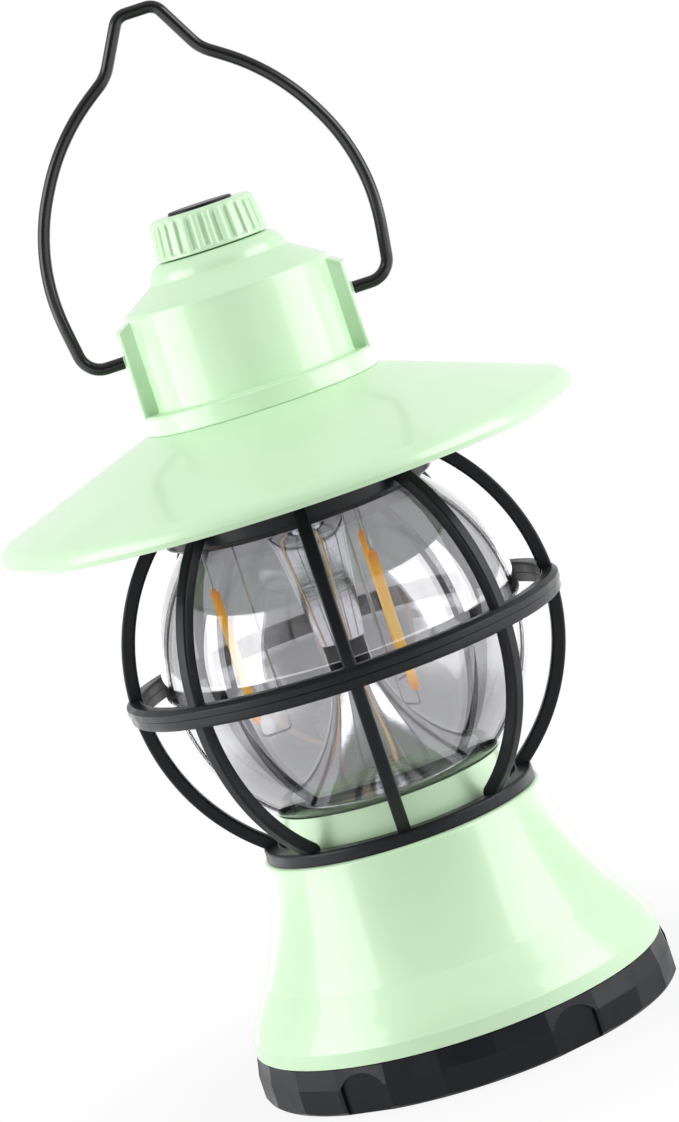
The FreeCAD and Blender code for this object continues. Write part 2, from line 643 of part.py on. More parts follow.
COVER_FLOOR_BOTTOM = "(pad_stand + cover_recess)"
COVER_FLOOR_TOP = "(pad_stand + cover_recess + cover_floor)"
SKIRT_BOTTOM = "(cover_top + joint_gap)"
SKIRT_INNER = "(skirt_radius - shell_wall)"
LEDGE_BOTTOM = "(cover_top + joint_gap + ledge_lift)"
LEDGE_TOP = "(cover_top + joint_gap + ledge_lift + ledge_height)"
LUG_BOTTOM = f"({LEDGE_TOP} + joint_gap)"
LUG_TOP = f"({LUG_BOTTOM} + ledge_height)"
UPSTAND_OUTER = f"({SKIRT_INNER} - ledge_depth - bayonet_gap)"
CELL_HEIGHT = f"({COVER_FLOOR_TOP} + cell_lift + cell_radius)"
PLATE_BOTTOM = f"({CELL_HEIGHT} + cell_radius + tray_slack)"
SHELF_BOTTOM = f"({PLATE_BOTTOM} + tray_plate)"
SHELF_TOP = f"({SHELF_BOTTOM} + shelf_thickness)"
FLANK_SLOPE = "((flank_radius - knee_radius) / (flank_height - knee_height))"
ROOF_BOTTOM = "(shell_top - roof_thickness)"
CROWN_PLATE_BOTTOM = "(crown_ring_top - crown_plate)"
TOP_PLATE_BOTTOM = f"({CROWN_PLATE_BOTTOM} - top_plate_thickness)"
BOARD_BOTTOM = f"({TOP_PLATE_BOTTOM} - board_thickness)"
UPPER_FLANGE_BOTTOM = f"({BOARD_BOTTOM} - trumpet_wall)"
SHADE_UNDERSIDE = "(shade_top - shade_wall)"
HUB_PLATE_BOTTOM = f"({SHADE_UNDERSIDE} - hub_flange)"
CONTACT_END = "(cell_length + nub_length + spring_length) / 2"
PEG_RING = "(foot_ring_inner + peg_inset)"
KNOB_BOTTOM = "(collar_top + joint_gap)"
DIMMER_TOP = "(collar_top - neck_wall)"


def flank_inside(height):
    """Inner radius of the shell's straight flank at a height."""
    wall = f"shell_wall * sqrt(1 + {FLANK_SLOPE} ^ 2)"
    return f"(knee_radius + ({height} - knee_height) * {FLANK_SLOPE} - {wall})"


def rib_reach(radius, height):
    """Distance from the axis of a ball of that radius about the cage's centre, at a height."""
    return f"sqrt({radius} ^ 2 - ({height} - cage_height) ^ 2)"


def rib_rise(radius, reach):
    """Height above or below the cage's centre at which that ball has that distance from the axis."""
    return f"sqrt({radius} ^ 2 - {reach} ^ 2)"


TRAY_SCREW_RING = f"({flank_inside(SHELF_BOTTOM)} - tray_screw_inset)"


# ---------------------------------------------------------------- battery cover, which is also the foot

def make_foot_pad():
    ring_solid("foot_pad", "pad_outer", "pad_inner", 0, COVER_FLOOR_BOTTOM)


def facet_corners(radius):
    corners = []
    for index in range(int(value("cover_facets"))):
        bearing = f"(({index} + 0.5) * 360 / cover_facets)"
        corners.append((f"{radius} * cos({bearing})", f"{radius} * sin({bearing})"))
    return corners


def make_battery_cover():
    """A faceted cup with six thumb scoops, and an upstand with bayonet lugs inside."""
    body = new_body("battery_cover")
    band = new_sketch(body, "band", "XY_Plane", "pad_stand")
    outline(band, facet_corners("cover_radius"))
    raised(band, "wall", "cover_band - pad_stand")
    wide = new_sketch(body, "bevel_foot", "XY_Plane", "cover_band")
    outline(wide, facet_corners("cover_radius"))
    narrow = new_sketch(body, "bevel_top", "XY_Plane", "cover_top")
    outline(narrow, facet_corners("cover_top_radius"))
    bevel = add_feature(wide, "AdditiveLoft", "bevel")
    bevel.Sections = [narrow]
    bevel.Ruled = True
    turned(body, "foot_chamfer", [
        ("cover_radius - cover_edge", "pad_stand"),
        ("cover_radius + cover_edge", "pad_stand"),
        ("cover_radius + cover_edge", "pad_stand + 2 * cover_edge"),
    ], "Groove")
    turned(body, "hollow", [
        (0, COVER_FLOOR_TOP),
        ("cover_radius - cover_wall - scoop_depth", COVER_FLOOR_TOP),
        ("cover_radius - cover_wall - scoop_depth", "cover_band"),
        ("cover_top_radius - cover_wall", "cover_top - 2 * cover_wall"),
        ("cover_top_radius - cover_wall", "cover_top + cover_wall"),
        (0, "cover_top + cover_wall"),
    ], "Groove")
    turned(body, "recess", [
        (0, "pad_stand - cover_edge"),
        ("pad_outer + 2 * slip + cover_wall", "pad_stand - cover_edge"),
        ("pad_outer + 2 * slip + cover_wall", COVER_FLOOR_BOTTOM),
        (0, COVER_FLOOR_BOTTOM),
    ], "Groove")
    turned(body, "upstand", [
        (f"{UPSTAND_OUTER} - upstand_wall", f"{COVER_FLOOR_TOP} - cover_floor / 2"),
        (UPSTAND_OUTER, f"{COVER_FLOOR_TOP} - cover_floor / 2"),
        (UPSTAND_OUTER, LUG_TOP),
        (f"{UPSTAND_OUTER} - upstand_wall", LUG_TOP),
    ])
    lug_plan = new_sketch(body, "lug_plan", "XY_Plane", LUG_BOTTOM)
    lug_reach = f"({SKIRT_INNER} - bayonet_gap)"
    sector(lug_plan, f"({UPSTAND_OUTER} - upstand_wall / 2)", lug_reach, "lug_half_angle")
    lug = raised(lug_plan, "lug", "ledge_height")
    repeated(body, "lugs", [lug], "bayonet_count")
    face = "cover_radius - scoop_depth"
    arch = new_sketch(body, "scoop_arch", "YZ_Plane", face)
    outline(arch, [
        ("-scoop_width / 2", "pad_stand - cover_edge"),
        ("scoop_width / 2", "pad_stand - cover_edge"),
        ("scoop_width / 2", "scoop_top - scoop_width / 4", "scoop_width * 0.625", 1),
        ("-scoop_width / 2", "scoop_top - scoop_width / 4"),
    ])
    scoop = cut_upwards(arch, "scoop", "2 * scoop_depth")
    repeated(body, "scoops", [scoop], "scoop_count")
    put(body, "Placement.Rotation.Angle", "cover_turn")


# ---------------------------------------------------------------- base

def make_base_shell():
    """A hollow bell, with ledges for the cover's lugs and a shelf for the battery tray."""
    body = new_body("base_shell")
    inner_sweep = "(bell_sweep + shell_wall)"
    turned(body, "wall", [
        (SKIRT_INNER, SKIRT_BOTTOM),
        ("skirt_radius + skirt_flare", SKIRT_BOTTOM),
        ("skirt_radius", "skirt_edge", "knee_sweep", 1),
        ("knee_radius", "knee_height"),
        ("flank_radius", "flank_height", "bell_sweep", -1),
        ("shell_top_radius", "shell_top - shell_lip", "shell_lip", 1),
        ("shell_top_radius - shell_lip", "shell_top"),
        ("seat_bore", "shell_top"),
        ("seat_bore", ROOF_BOTTOM),
        ("shell_top_radius - shell_wall", ROOF_BOTTOM, inner_sweep, 1),
        (flank_inside(SHELF_TOP), SHELF_TOP),
        (f"{flank_inside(SHELF_BOTTOM)} - shelf_width", SHELF_TOP),
        (f"{flank_inside(SHELF_BOTTOM)} - shelf_width", SHELF_BOTTOM),
        (flank_inside(SHELF_BOTTOM), SHELF_BOTTOM),
        (SKIRT_INNER, f"{LUG_TOP} + joint_gap"),
    ])
    ledge_plan = new_sketch(body, "ledge_plan", "XY_Plane", LEDGE_BOTTOM)
    ledge_root = f"({SKIRT_INNER} + shell_wall / 2)"
    sector(ledge_plan, f"({SKIRT_INNER} - ledge_depth)", ledge_root, "ledge_half_angle")
    ledge = raised(ledge_plan, "ledge", "ledge_height")
    repeated(body, "ledges", [ledge], "bayonet_count")
    drill(body, "tray_screw_holes", TRAY_SCREW_RING, "screw_hole", 4, SHELF_BOTTOM,
          "tray_screw_length - tray_plate + screw_radius / 2", 45)
    drill(body, "seat_screw_holes", "seat_screw_ring", "screw_hole", 4, ROOF_BOTTOM, "roof_thickness", 45)
    drill(body, "peg_holes", PEG_RING, "peg_radius + slip", "peg_count", ROOF_BOTTOM, "roof_thickness")


def make_battery_tray():
    """A round plate with three cell bays under it, open at the bottom."""
    body = new_body("battery_tray")
    plate = new_sketch(body, "plate_plan", "XY_Plane", PLATE_BOTTOM)
    circle(plate, 0, 0, f"{flank_inside(SHELF_BOTTOM)} - 2 * joint_gap")
    circle(plate, 0, 0, "tube_radius")
    raised(plate, "plate", "tray_plate")
    end = f"({CONTACT_END} + contact_thickness)"
    side = "(1.5 * cell_pitch)"
    bottom = f"({COVER_FLOOR_TOP} + cell_lift)"
    walls = new_sketch(body, "wall_plan", "XY_Plane", bottom)
    outer_side = f"({side} + tray_wall)"
    outer_end = f"({end} + tray_wall)"
    box_outline(walls, f"-{outer_side}", f"-{outer_end}", outer_side, outer_end)
    box_outline(walls, f"-{side}", f"-{end}", side, end)
    raised(walls, "walls", f"{PLATE_BOTTOM} - {bottom}")
    dividers = new_sketch(body, "divider_plan", "XY_Plane", bottom)
    for place in ("-cell_pitch / 2", "cell_pitch / 2"):
        box_outline(dividers, f"{place} - divider_wall / 2", f"-{end}", f"{place} + divider_wall / 2", end)
    raised(dividers, "dividers", f"{PLATE_BOTTOM} - {bottom}")
    drill(body, "screw_holes", TRAY_SCREW_RING, "screw_hole", 4, PLATE_BOTTOM, "tray_plate", 45)


def lay_down(piece, index, way):
    """Lay a piece that was made upright along Y in bay index, facing way (1 is +Y)."""
    piece.Placement.Rotation = FreeCAD.Rotation(FreeCAD.Vector(1, 0, 0), -90 * way)
    put(piece, "Placement.Base.x", f"{index - 1} * cell_pitch")
    put(piece, "Placement.Base.z", CELL_HEIGHT)


def make_cell(index, way):
    """An AA cell: a can with a small positive end that touches its contact plate."""
    body = new_body(f"cell_{index + 1}")
    turned(body, "can", [
        (0, 0),
        ("cell_radius - cell_rounding", 0, "cell_rounding", 1),
        ("cell_radius", "cell_rounding"),
        ("cell_radius", "cell_length - cell_rounding", "cell_rounding", 1),
        ("cell_radius - cell_rounding", "cell_length"),
        ("nub_radius", "cell_length"),
        ("nub_radius", "cell_length + nub_length"),
        (0, "cell_length + nub_length"),
    ])
    lay_down(body, index, way)
    put(body, "Placement.Base.y", f"{way} * ({CONTACT_END} - cell_length - nub_length)")


def make_spring(index, way):
    """A bowed leaf spring between the cell's flat end and its contact plate."""
    body = new_body(f"contact_spring_{index + 1}")
    bow = "((spring_reach ^ 2 + spring_length ^ 2) / (2 * spring_length))"
    inner_bow = f"({bow} - spring_leaf)"
    inner_reach = f"sqrt({inner_bow} ^ 2 - ({bow} - spring_length) ^ 2)"
    side = new_sketch(body, "side")
    outline(side, [
        ("-spring_reach", 0, bow, -1),
        ("spring_reach", 0),
        (inner_reach, 0, inner_bow, 1),
        (f"-{inner_reach}", 0),
    ])
    raised_both_ways(side, "leaf", "spring_width")
    lay_down(body, index, way)
    put(body, "Placement.Base.y", f"-{way} * {CONTACT_END}")


def make_contact_plates():
    """Three plates at each end of the tray, one behind each cell end."""
    plates = []
    for index in range(3):
        for way in (-1, 1):
            plate = DOC.addObject("Part::Box", "contact_plate")
            put(plate, "Length", "contact_width")
            put(plate, "Width", "contact_thickness")
            put(plate, "Height", "contact_width")
            put(plate, "Placement.Base.x", f"{index - 1} * cell_pitch - contact_width / 2")
            middle = f"{way} * ({CONTACT_END} + contact_thickness / 2)"
            put(plate, "Placement.Base.y", f"{middle} - contact_thickness / 2")
            put(plate, "Placement.Base.z", f"{CELL_HEIGHT} - contact_width / 2")
            plates.append(plate)
    group("contact_plates", plates)


def make_batteries():
    for index, way in enumerate((1, -1, 1)):
        make_cell(index, way)
        make_spring(index, way)
    make_contact_plates()
    screw_ring("tray_screws", TRAY_SCREW_RING, 45, PLATE_BOTTOM, "tray_screw_length", 1)


# ---------------------------------------------------------------- globe and its seat

def make_globe_seat():
    """A ring that stands on the bell's roof, holds the globe in a groove and carries the reflector."""
    body = new_body("globe_seat")
    spigot = "(seat_bore - 2 * slip)"
    groove_outer = "(seat_radius - seat_wall)"
    groove_inner = "(globe_foot - globe_wall - 3 * slip)"
    turned(body, "ring", [
        ("seat_radius", "shell_top"),
        ("seat_radius", "seat_top"),
        ("seat_radius - seat_wall / 3", "seat_top"),
        (groove_outer, "seat_top - seat_wall"),
        (groove_outer, "groove_floor"),
        (groove_inner, "groove_floor"),
        (groove_inner, "seat_face"),
        ("tube_radius + slip", "seat_face"),
        ("tube_radius + slip", "seat_floor"),
        (f"{spigot} - seat_spigot_wall", "seat_floor"),
        (f"{spigot} - seat_spigot_wall", "shell_top - seat_spigot"),
        (spigot, "shell_top - seat_spigot"),
        (spigot, "shell_top"),
    ])
    drill(body, "screw_holes", "seat_screw_ring", "screw_hole", 4, "shell_top",
          "seat_screw_length - roof_thickness + screw_radius / 2", 45)
    screw_ring("seat_screws", "seat_screw_ring", 45, ROOF_BOTTOM, "seat_screw_length", 1)


def make_globe():
    """A ball with a rim at each end. The inside follows the outside at the wall's thickness."""
    body = new_body("globe")
    foot_inner = "(globe_foot - globe_wall)"
    crown_inner = "(globe_crown - globe_wall)"
    inner_radius = "(globe_radius - globe_wall)"
    bottom = "(groove_floor + gasket_height)"
    turned(body, "glass", [
        (foot_inner, bottom),
        ("globe_foot", bottom),
        ("globe_foot", "globe_height - sqrt(globe_radius ^ 2 - globe_foot ^ 2)", "globe_radius", 1),
        ("globe_radius", "globe_height", "globe_radius", 1),
        ("globe_crown", "globe_height + sqrt(globe_radius ^ 2 - globe_crown ^ 2)"),
        ("globe_crown", "globe_top"),
        (crown_inner, "globe_top"),
        (crown_inner, f"globe_height + sqrt({inner_radius} ^ 2 - {crown_inner} ^ 2)", inner_radius, -1),
        (inner_radius, "globe_height", inner_radius, -1),
        (foot_inner, f"globe_height - sqrt({inner_radius} ^ 2 - {foot_inner} ^ 2)"),
    ])


def make_gaskets():
    ring_solid("lower_gasket", "globe_foot", "globe_foot - globe_wall", "groove_floor", "gasket_height")
    ring_solid("upper_gasket", "globe_crown", "globe_crown - globe_wall", "globe_top",
               f"{CROWN_PLATE_BOTTOM} - globe_top")


# ---------------------------------------------------------------- cage

def make_cage_lower():
    """Bottom ring, eight half ribs and the lower half of the equator ring."""
    body = new_body("cage_lower")
    ring_top = "(shell_top + foot_ring_height)"
    turned(body, "foot_ring", [
        ("foot_ring_inner", "shell_top"),
        ("foot_ring_outer", "shell_top"),
        ("foot_ring_outer", f"{ring_top} - foot_ring_rounding", "foot_ring_rounding", 1),
        ("foot_ring_outer - foot_ring_rounding", ring_top),
        ("foot_ring_inner", ring_top),
    ])
    outer = "(equator_outer - equator_step)"
    turned(body, "equator", [
        ("equator_outer - equator_depth", "equator_bottom"),
        (f"{outer} - equator_rounding", "equator_bottom", "equator_rounding", 1),
        (outer, "equator_bottom + equator_rounding"),
        (outer, "equator_seam"),
        ("equator_outer - equator_depth", "equator_seam"),
    ])
    rib_inner = "(rib_outer - rib_depth)"
    foot = f"({ring_top} - rib_sink)"
    toe = "(foot_ring_inner + rib_toe)"
    rib_plan = new_sketch(body, "rib_outline")
    outline(rib_plan, [
        (toe, foot),
        (rib_reach("rib_outer", foot), foot, "rib_outer", 1),
        (rib_reach("rib_outer", "equator_seam"), "equator_seam"),
        (rib_reach(rib_inner, "equator_seam"), "equator_seam", rib_inner, -1),
        (toe, f"cage_height - {rib_rise(rib_inner, toe)}"),
    ])
    rib = raised_both_ways(rib_plan, "rib", "rib_width")
    repeated(body, "ribs", [rib], "rib_count")
    pegs = new_sketch(body, "peg_plan", "XY_Plane", "shell_top - peg_length")
    ring_of_circles(pegs, PEG_RING, "peg_radius", "peg_count")
    raised(pegs, "pegs", "peg_length + foot_ring_height / 2")


def make_cage_upper():
    """Top ring with its plate, eight half ribs and the upper half of the equator ring."""
    body = new_body("cage_upper")
    turned(body, "crown_ring", [
        ("crown_ring_inner", "crown_ring_bottom"),
        ("crown_ring_inner + crown_land", "crown_ring_bottom"),
        ("crown_ring_outer", "crown_ring_bottom + crown_bevel"),
        ("crown_ring_outer", "crown_ring_top"),
        ("crown_bore", "crown_ring_top"),
        ("crown_bore", CROWN_PLATE_BOTTOM),
        ("crown_ring_inner", CROWN_PLATE_BOTTOM),
    ])
    turned(body, "equator", [
        ("equator_outer - equator_depth", "equator_seam"),
        ("equator_outer", "equator_seam"),
        ("equator_outer", "equator_top - equator_bevel"),
        ("equator_outer - equator_bevel", "equator_top"),
        ("equator_outer - equator_depth", "equator_top"),
    ])
    rib_inner = "(rib_outer - rib_depth)"
    shoulder = "(crown_ring_outer - rib_shoulder)"
    rib_plan = new_sketch(body, "rib_outline")
    outline(rib_plan, [
        (rib_reach(rib_inner, "equator_seam"), "equator_seam"),
        (rib_reach("rib_outer", "equator_seam"), "equator_seam", "rib_outer", 1),
        (rib_reach("rib_outer", "crown_ring_top"), "crown_ring_top"),
        (shoulder, "crown_ring_top"),
        (shoulder, f"cage_height + {rib_rise(rib_inner, shoulder)}", rib_inner, -1),
    ])
    rib = raised_both_ways(rib_plan, "rib", "rib_width")
    repeated(body, "ribs", [rib], "rib_count")
    drill(body, "screw_holes", "cage_screw_ring", "screw_hole", 4, CROWN_PLATE_BOTTOM, "crown_plate", 45)


# ---------------------------------------------------------------- reflector and filaments

def make_reflector_lower():
    """A trumpet that opens downwards. Its wall lies between two arcs about one centre."""
    body = new_body("reflector_lower")
    rim = "(seat_face + lower_rim)"
    turned(body, "trumpet", [
        ("trumpet_waist - trumpet_wall", "lower_waist", "lower_flare + trumpet_wall", 1),
        ("lower_flange_radius - 2 * trumpet_wall", "seat_face"),
        ("lower_flange_radius", "seat_face"),
        ("lower_flange_radius", rim, "lower_flare", -1),
        ("trumpet_waist", "lower_waist"),
    ])


def on_upper_flare(radius):
    """Where the curve of that radius about the upper flare's centre starts."""
    return (f"upper_shoulder - {radius} * cos(upper_flare_start)",
            f"{UPPER_FLANGE_BOTTOM} - upper_flare + {radius} * sin(upper_flare_start)")


def make_reflector_upper():
    """A slim cone that flares into a level flange at the top."""
    body = new_body("reflector_upper")
    inner_flare = "(upper_flare + trumpet_wall)"
    turned(body, "trumpet", [
        ("trumpet_waist - trumpet_wall", "upper_waist"),
        ("trumpet_waist", "upper_waist"),
        (*on_upper_flare("upper_flare"), "upper_flare", -1),
        ("upper_shoulder", UPPER_FLANGE_BOTTOM),
        ("upper_flange_radius", UPPER_FLANGE_BOTTOM),
        ("upper_flange_radius", BOARD_BOTTOM),
        ("upper_shoulder", BOARD_BOTTOM, inner_flare, 1),
        on_upper_flare(inner_flare),
    ])
    drill(body, "lead_holes", "lead_ring", "3 * lead_radius", "filament_count", UPPER_FLANGE_BOTTOM,
          "trumpet_wall", "filament_start")


def make_waist():
    """The dark sleeve between the two trumpets, and the tube that the wires run in."""
    body = new_body("waist_sleeve")
    neck = "(trumpet_waist - trumpet_wall - slip)"
    turned(body, "sleeve", [
        ("tube_radius + slip", "lower_waist - sleeve_overlap"),
        (neck, "lower_waist - sleeve_overlap"),
        (neck, "lower_waist"),
        ("sleeve_radius", "lower_waist"),
        ("sleeve_radius", "upper_waist"),
        (neck, "upper_waist"),
        (neck, "upper_waist + sleeve_overlap"),
        ("tube_radius + slip", "upper_waist + sleeve_overlap"),
    ])
    ring_solid("wire_tube", "tube_radius", "tube_radius - tube_wall", "seat_floor",
               f"{TOP_PLATE_BOTTOM} - seat_floor")


def make_filament(index):
    """A glowing rod, its straight upper lead, and a lower lead that turns back up like a hairpin."""
    bearing = f"(filament_start + {index} * 360 / filament_count)"
    filament = DOC.addObject("Part::Cylinder", f"filament_{index + 1}")
    put(filament, "Radius", "filament_radius")
    put(filament, "Height", "filament_length")
    put(filament, "Placement.Base.x", f"filament_ring * cos({bearing})")
    put(filament, "Placement.Base.y", f"filament_ring * sin({bearing})")
    put(filament, "Placement.Base.z", "filament_bottom")
    keep(filament, f"filament_{index + 1}")

    body = new_body(f"filament_leads_{index + 1}")
    upper = new_sketch(body, "upper_section", "XY_Plane", "filament_bottom + filament_length")
    circle(upper, "filament_ring", 0, "lead_radius")
    raised(upper, "upper", f"{BOARD_BOTTOM} - filament_bottom - filament_length")
    route = new_sketch(body, "hairpin_route")
    rounded_path(route, [
        ("filament_ring", "filament_bottom"),
        ("filament_ring", "lead_bottom", "lead_bend"),
        ("lead_ring", "lead_bottom", "lead_bend"),
        ("lead_ring", BOARD_BOTTOM),
    ])
    section = new_sketch(body, "hairpin_section", "XY_Plane", "filament_bottom")
    circle(section, "filament_ring", 0, "lead_radius")
    hairpin = add_feature(section, "AdditivePipe", "hairpin")
    hairpin.Spine = route
    put(body, "Placement.Rotation.Angle", bearing)


def make_boards():
    """The ring board that the filaments hang from, and the plate that closes the globe's top."""
    ring_solid("filament_board", "board_radius", "board_bore", BOARD_BOTTOM, "board_thickness")
    body = new_body("top_plate")
    plan = new_sketch(body, "plan", "XY_Plane", TOP_PLATE_BOTTOM)
    circle(plan, 0, 0, "board_radius")
    circle(plan, 0, 0, "top_plate_bore")
    raised(plan, "plate", "top_plate_thickness")
    drill(body, "screw_holes", "cage_screw_ring", "screw_hole", 4, TOP_PLATE_BOTTOM,
          "top_plate_thickness", 45)


# ---------------------------------------------------------------- head

def make_top_hub():
    """A short drum between the cage's top ring and the shade."""
    body = new_body("top_hub")
    turned(body, "drum", [
        ("crown_bore", "crown_ring_top"),
        ("crown_ring_outer", "crown_ring_top"),
        ("crown_ring_outer", "crown_ring_top + hub_foot"),
        ("hub_radius", "crown_ring_top + 2 * hub_foot"),
        ("hub_radius", HUB_PLATE_BOTTOM),
        ("shade_top_radius", SHADE_UNDERSIDE),
        ("hub_bore", SHADE_UNDERSIDE),
        ("hub_bore", HUB_PLATE_BOTTOM),
        ("hub_inner", HUB_PLATE_BOTTOM),
        ("hub_inner", "crown_ring_top + hub_flange"),
        ("crown_bore", "crown_ring_top + hub_flange"),
    ])
    drill(body, "cage_screw_holes", "cage_screw_ring", "screw_hole", 4, "crown_ring_top", "hub_flange", 45)
    drill(body, "neck_screw_holes", "neck_screw_ring", "screw_hole", 4, HUB_PLATE_BOTTOM, "hub_flange", 45)
    screw_ring("cage_screws", "cage_screw_ring", 45, "crown_ring_top + hub_flange", "cage_screw_length", -1)
    screw_ring("neck_screws", "neck_screw_ring", 45, HUB_PLATE_BOTTOM, "neck_screw_length", 1)


def make_shade():
    """A shallow cone with a rounded rim, and a flat plate in its top."""
    body = new_body("shade")
    cone_slope = "((shade_top - shade_edge_height) / (shade_edge_radius - shade_top_radius))"
    turned(body, "cone", [
        ("shade_bore", "shade_top"),
        ("shade_bore", SHADE_UNDERSIDE),
        ("shade_top_radius", SHADE_UNDERSIDE),
        ("shade_edge_radius", "shade_edge_height - shade_wall"),
        ("shade_radius - shade_wall", "shade_bottom"),
        ("shade_radius - rim_tuck", "shade_bottom"),
        ("shade_radius", "shade_rim_height", "shade_rounding", 1),
        ("shade_edge_radius", f"shade_top - (shade_edge_radius - shade_top_radius) * {cone_slope}"),
        ("shade_top_radius", "shade_top"),
    ])
    drill(body, "screw_holes", "neck_screw_ring", "screw_hole", 4, SHADE_UNDERSIDE, "shade_wall", 45)


def make_neck_housing():
    """A drum with a foot flange, a conical shoulder, a collar under the knob and two lugs for the bail."""
    body = new_body("neck_housing")
    inner = "(neck_radius - neck_wall)"
    turned(body, "wall", [
        (inner, "shade_top"),
        ("shade_top_radius", "shade_top"),
        ("shade_top_radius", "neck_flange_top"),
        ("neck_radius", "neck_flange_top"),
        ("neck_radius", "neck_top"),
        ("shoulder_radius", "shoulder_top"),
        ("collar_radius", "shoulder_top"),
        ("collar_radius", "collar_edge", "collar_sweep", 1),
        ("collar_top_radius", "collar_top"),
        ("bushing_radius + slip", "collar_top"),
        ("bushing_radius + slip", DIMMER_TOP),
        ("collar_top_radius - neck_wall", DIMMER_TOP),
        ("collar_top_radius - neck_wall", "shoulder_top - neck_wall"),
        ("shoulder_radius - neck_wall", "shoulder_top - neck_wall"),
        (inner, "neck_top - neck_wall / 2"),
    ])
    ear_face = "sqrt(ear_radius ^ 2 - ear_half_width ^ 2)"
    ear_plan = new_sketch(body, "ear_plan", "XY_Plane", "neck_flange_top")
    outline(ear_plan, [
        (f"{inner} + neck_wall / 4", "-ear_half_width"),
        (ear_face, "-ear_half_width", "ear_radius", 1),
        (ear_face, "ear_half_width"),
        (f"{inner} + neck_wall / 4", "ear_half_width"),
    ])
    ear = raised(ear_plan, "ear", "ear_top - neck_flange_top")
    repeated(body, "ears", [ear], 2)
    turned(body, "ear_slopes", [
        ("neck_radius", "ear_top"),
        ("ear_radius + joint_gap", "ear_top - ear_bevel"),
        ("ear_radius + joint_gap", "ear_top + joint_gap"),
        ("neck_radius", "ear_top + joint_gap"),
    ], "Groove")
    bosses = new_sketch(body, "boss_plan", "XY_Plane", "shade_top")
    ring_of_circles(bosses, "neck_screw_ring", "boss_radius", 4, 45)
    raised(bosses, "bosses", "boss_top - shade_top")
    drill(body, "screw_holes", "neck_screw_ring", "screw_hole", 4, "shade_top",
          f"neck_screw_length - shade_top + {HUB_PLATE_BOTTOM} + screw_radius / 2", 45)
    bore = new_sketch(body, "pin_circle", "YZ_Plane", "-ear_radius - joint_gap")
    circle(bore, 0, "bail_height", "wire_radius + running")
    cut_upwards(bore, "pin_bore", "2 * (ear_radius + joint_gap)")


def make_driver():
    """The driver board on the neck's bosses, and what is soldered to it."""
    board = rod("driver_board", "driver_radius", 0, 0, "boss_top", "board_thickness")
    keep(board, "driver_board")
    top = "(boss_top + board_thickness)"
    coil = rod("driver_coil", "coil_radius", "coil_x", "coil_y", top, "coil_height")
    capacitor = rod("driver_capacitor", "capacitor_radius", "capacitor_x", "capacitor_y", top,
                    "capacitor_height")
    chip = DOC.addObject("Part::Box", "driver_chip")
    for side, length in (("Length", "chip_length"), ("Width", "chip_width"), ("Height", "chip_height")):
        put(chip, side, length)
    put(chip, "Placement.Base.x", "chip_x")
    put(chip, "Placement.Base.y", "chip_y")
    put(chip, "Placement.Base.z", top)
    posts = []
    for index in range(3):
        posts.append(rod(f"dimmer_post_{index + 1}", "post_radius", f"{index - 1} * post_spacing", "post_y",
                         top, f"{DIMMER_TOP} - dimmer_height - {top}"))
    group("board_parts", [coil, capacitor, chip] + posts)
    wires = []
    for side in (-1, 1):
        wires.append(rod(f"supply_wire_{side + 2}", "insulated_radius", f"{side} * supply_offset", 0,
                         SHELF_BOTTOM, f"boss_top - {SHELF_BOTTOM}"))
    group("supply_wires", wires)
    wires = []
    for side in (-1, 1):
        wires.append(rod(f"filament_wire_{side + 2}", "insulated_radius", 0, f"{side} * feed_offset",
                         TOP_PLATE_BOTTOM, f"boss_top - {TOP_PLATE_BOTTOM}"))
    group("filament_wires", wires)


def make_dimmer():
    """The rotary dimmer under the collar, its nut, and the shaft that the knob sits on."""
    body = new_body("dimmer_body")
    shaft_bore = "(shaft_radius + running)"
    turned(body, "can", [
        (0, f"{DIMMER_TOP} - dimmer_height"),
        ("dimmer_radius", f"{DIMMER_TOP} - dimmer_height"),
        ("dimmer_radius", DIMMER_TOP),
        ("bushing_radius", DIMMER_TOP),
        ("bushing_radius", f"{DIMMER_TOP} + bushing_length"),
        (shaft_bore, f"{DIMMER_TOP} + bushing_length"),
        (shaft_bore, "shaft_foot - joint_gap"),
        (0, "shaft_foot - joint_gap"),
    ])
    nut = new_body("dimmer_nut")
    plan = new_sketch(nut, "plan", "XY_Plane", "collar_top")
    corners = []
    for index in range(6):
        bearing = f"({index} * 60)"
        corners.append((f"nut_flats / sqrt(3) * cos({bearing})", f"nut_flats / sqrt(3) * sin({bearing})"))
    outline(plan, corners)
    circle(plan, 0, 0, "bushing_radius + slip / 2")
    raised(plan, "hexagon", "nut_height")
    shaft = new_body("dimmer_shaft")
    turned(shaft, "round", [
        (0, "shaft_foot"),
        ("shaft_radius", "shaft_foot"),
        ("shaft_radius", "shaft_top"),
        (0, "shaft_top"),
    ])
    flat = new_sketch(shaft, "flat_plan", "XY_Plane", "hub_clear")
    box_outline(flat, "shaft_flat", "-2 * shaft_radius", "2 * shaft_radius", "2 * shaft_radius")
    cut_upwards(flat, "flat", "shaft_top - hub_clear + shaft_radius")


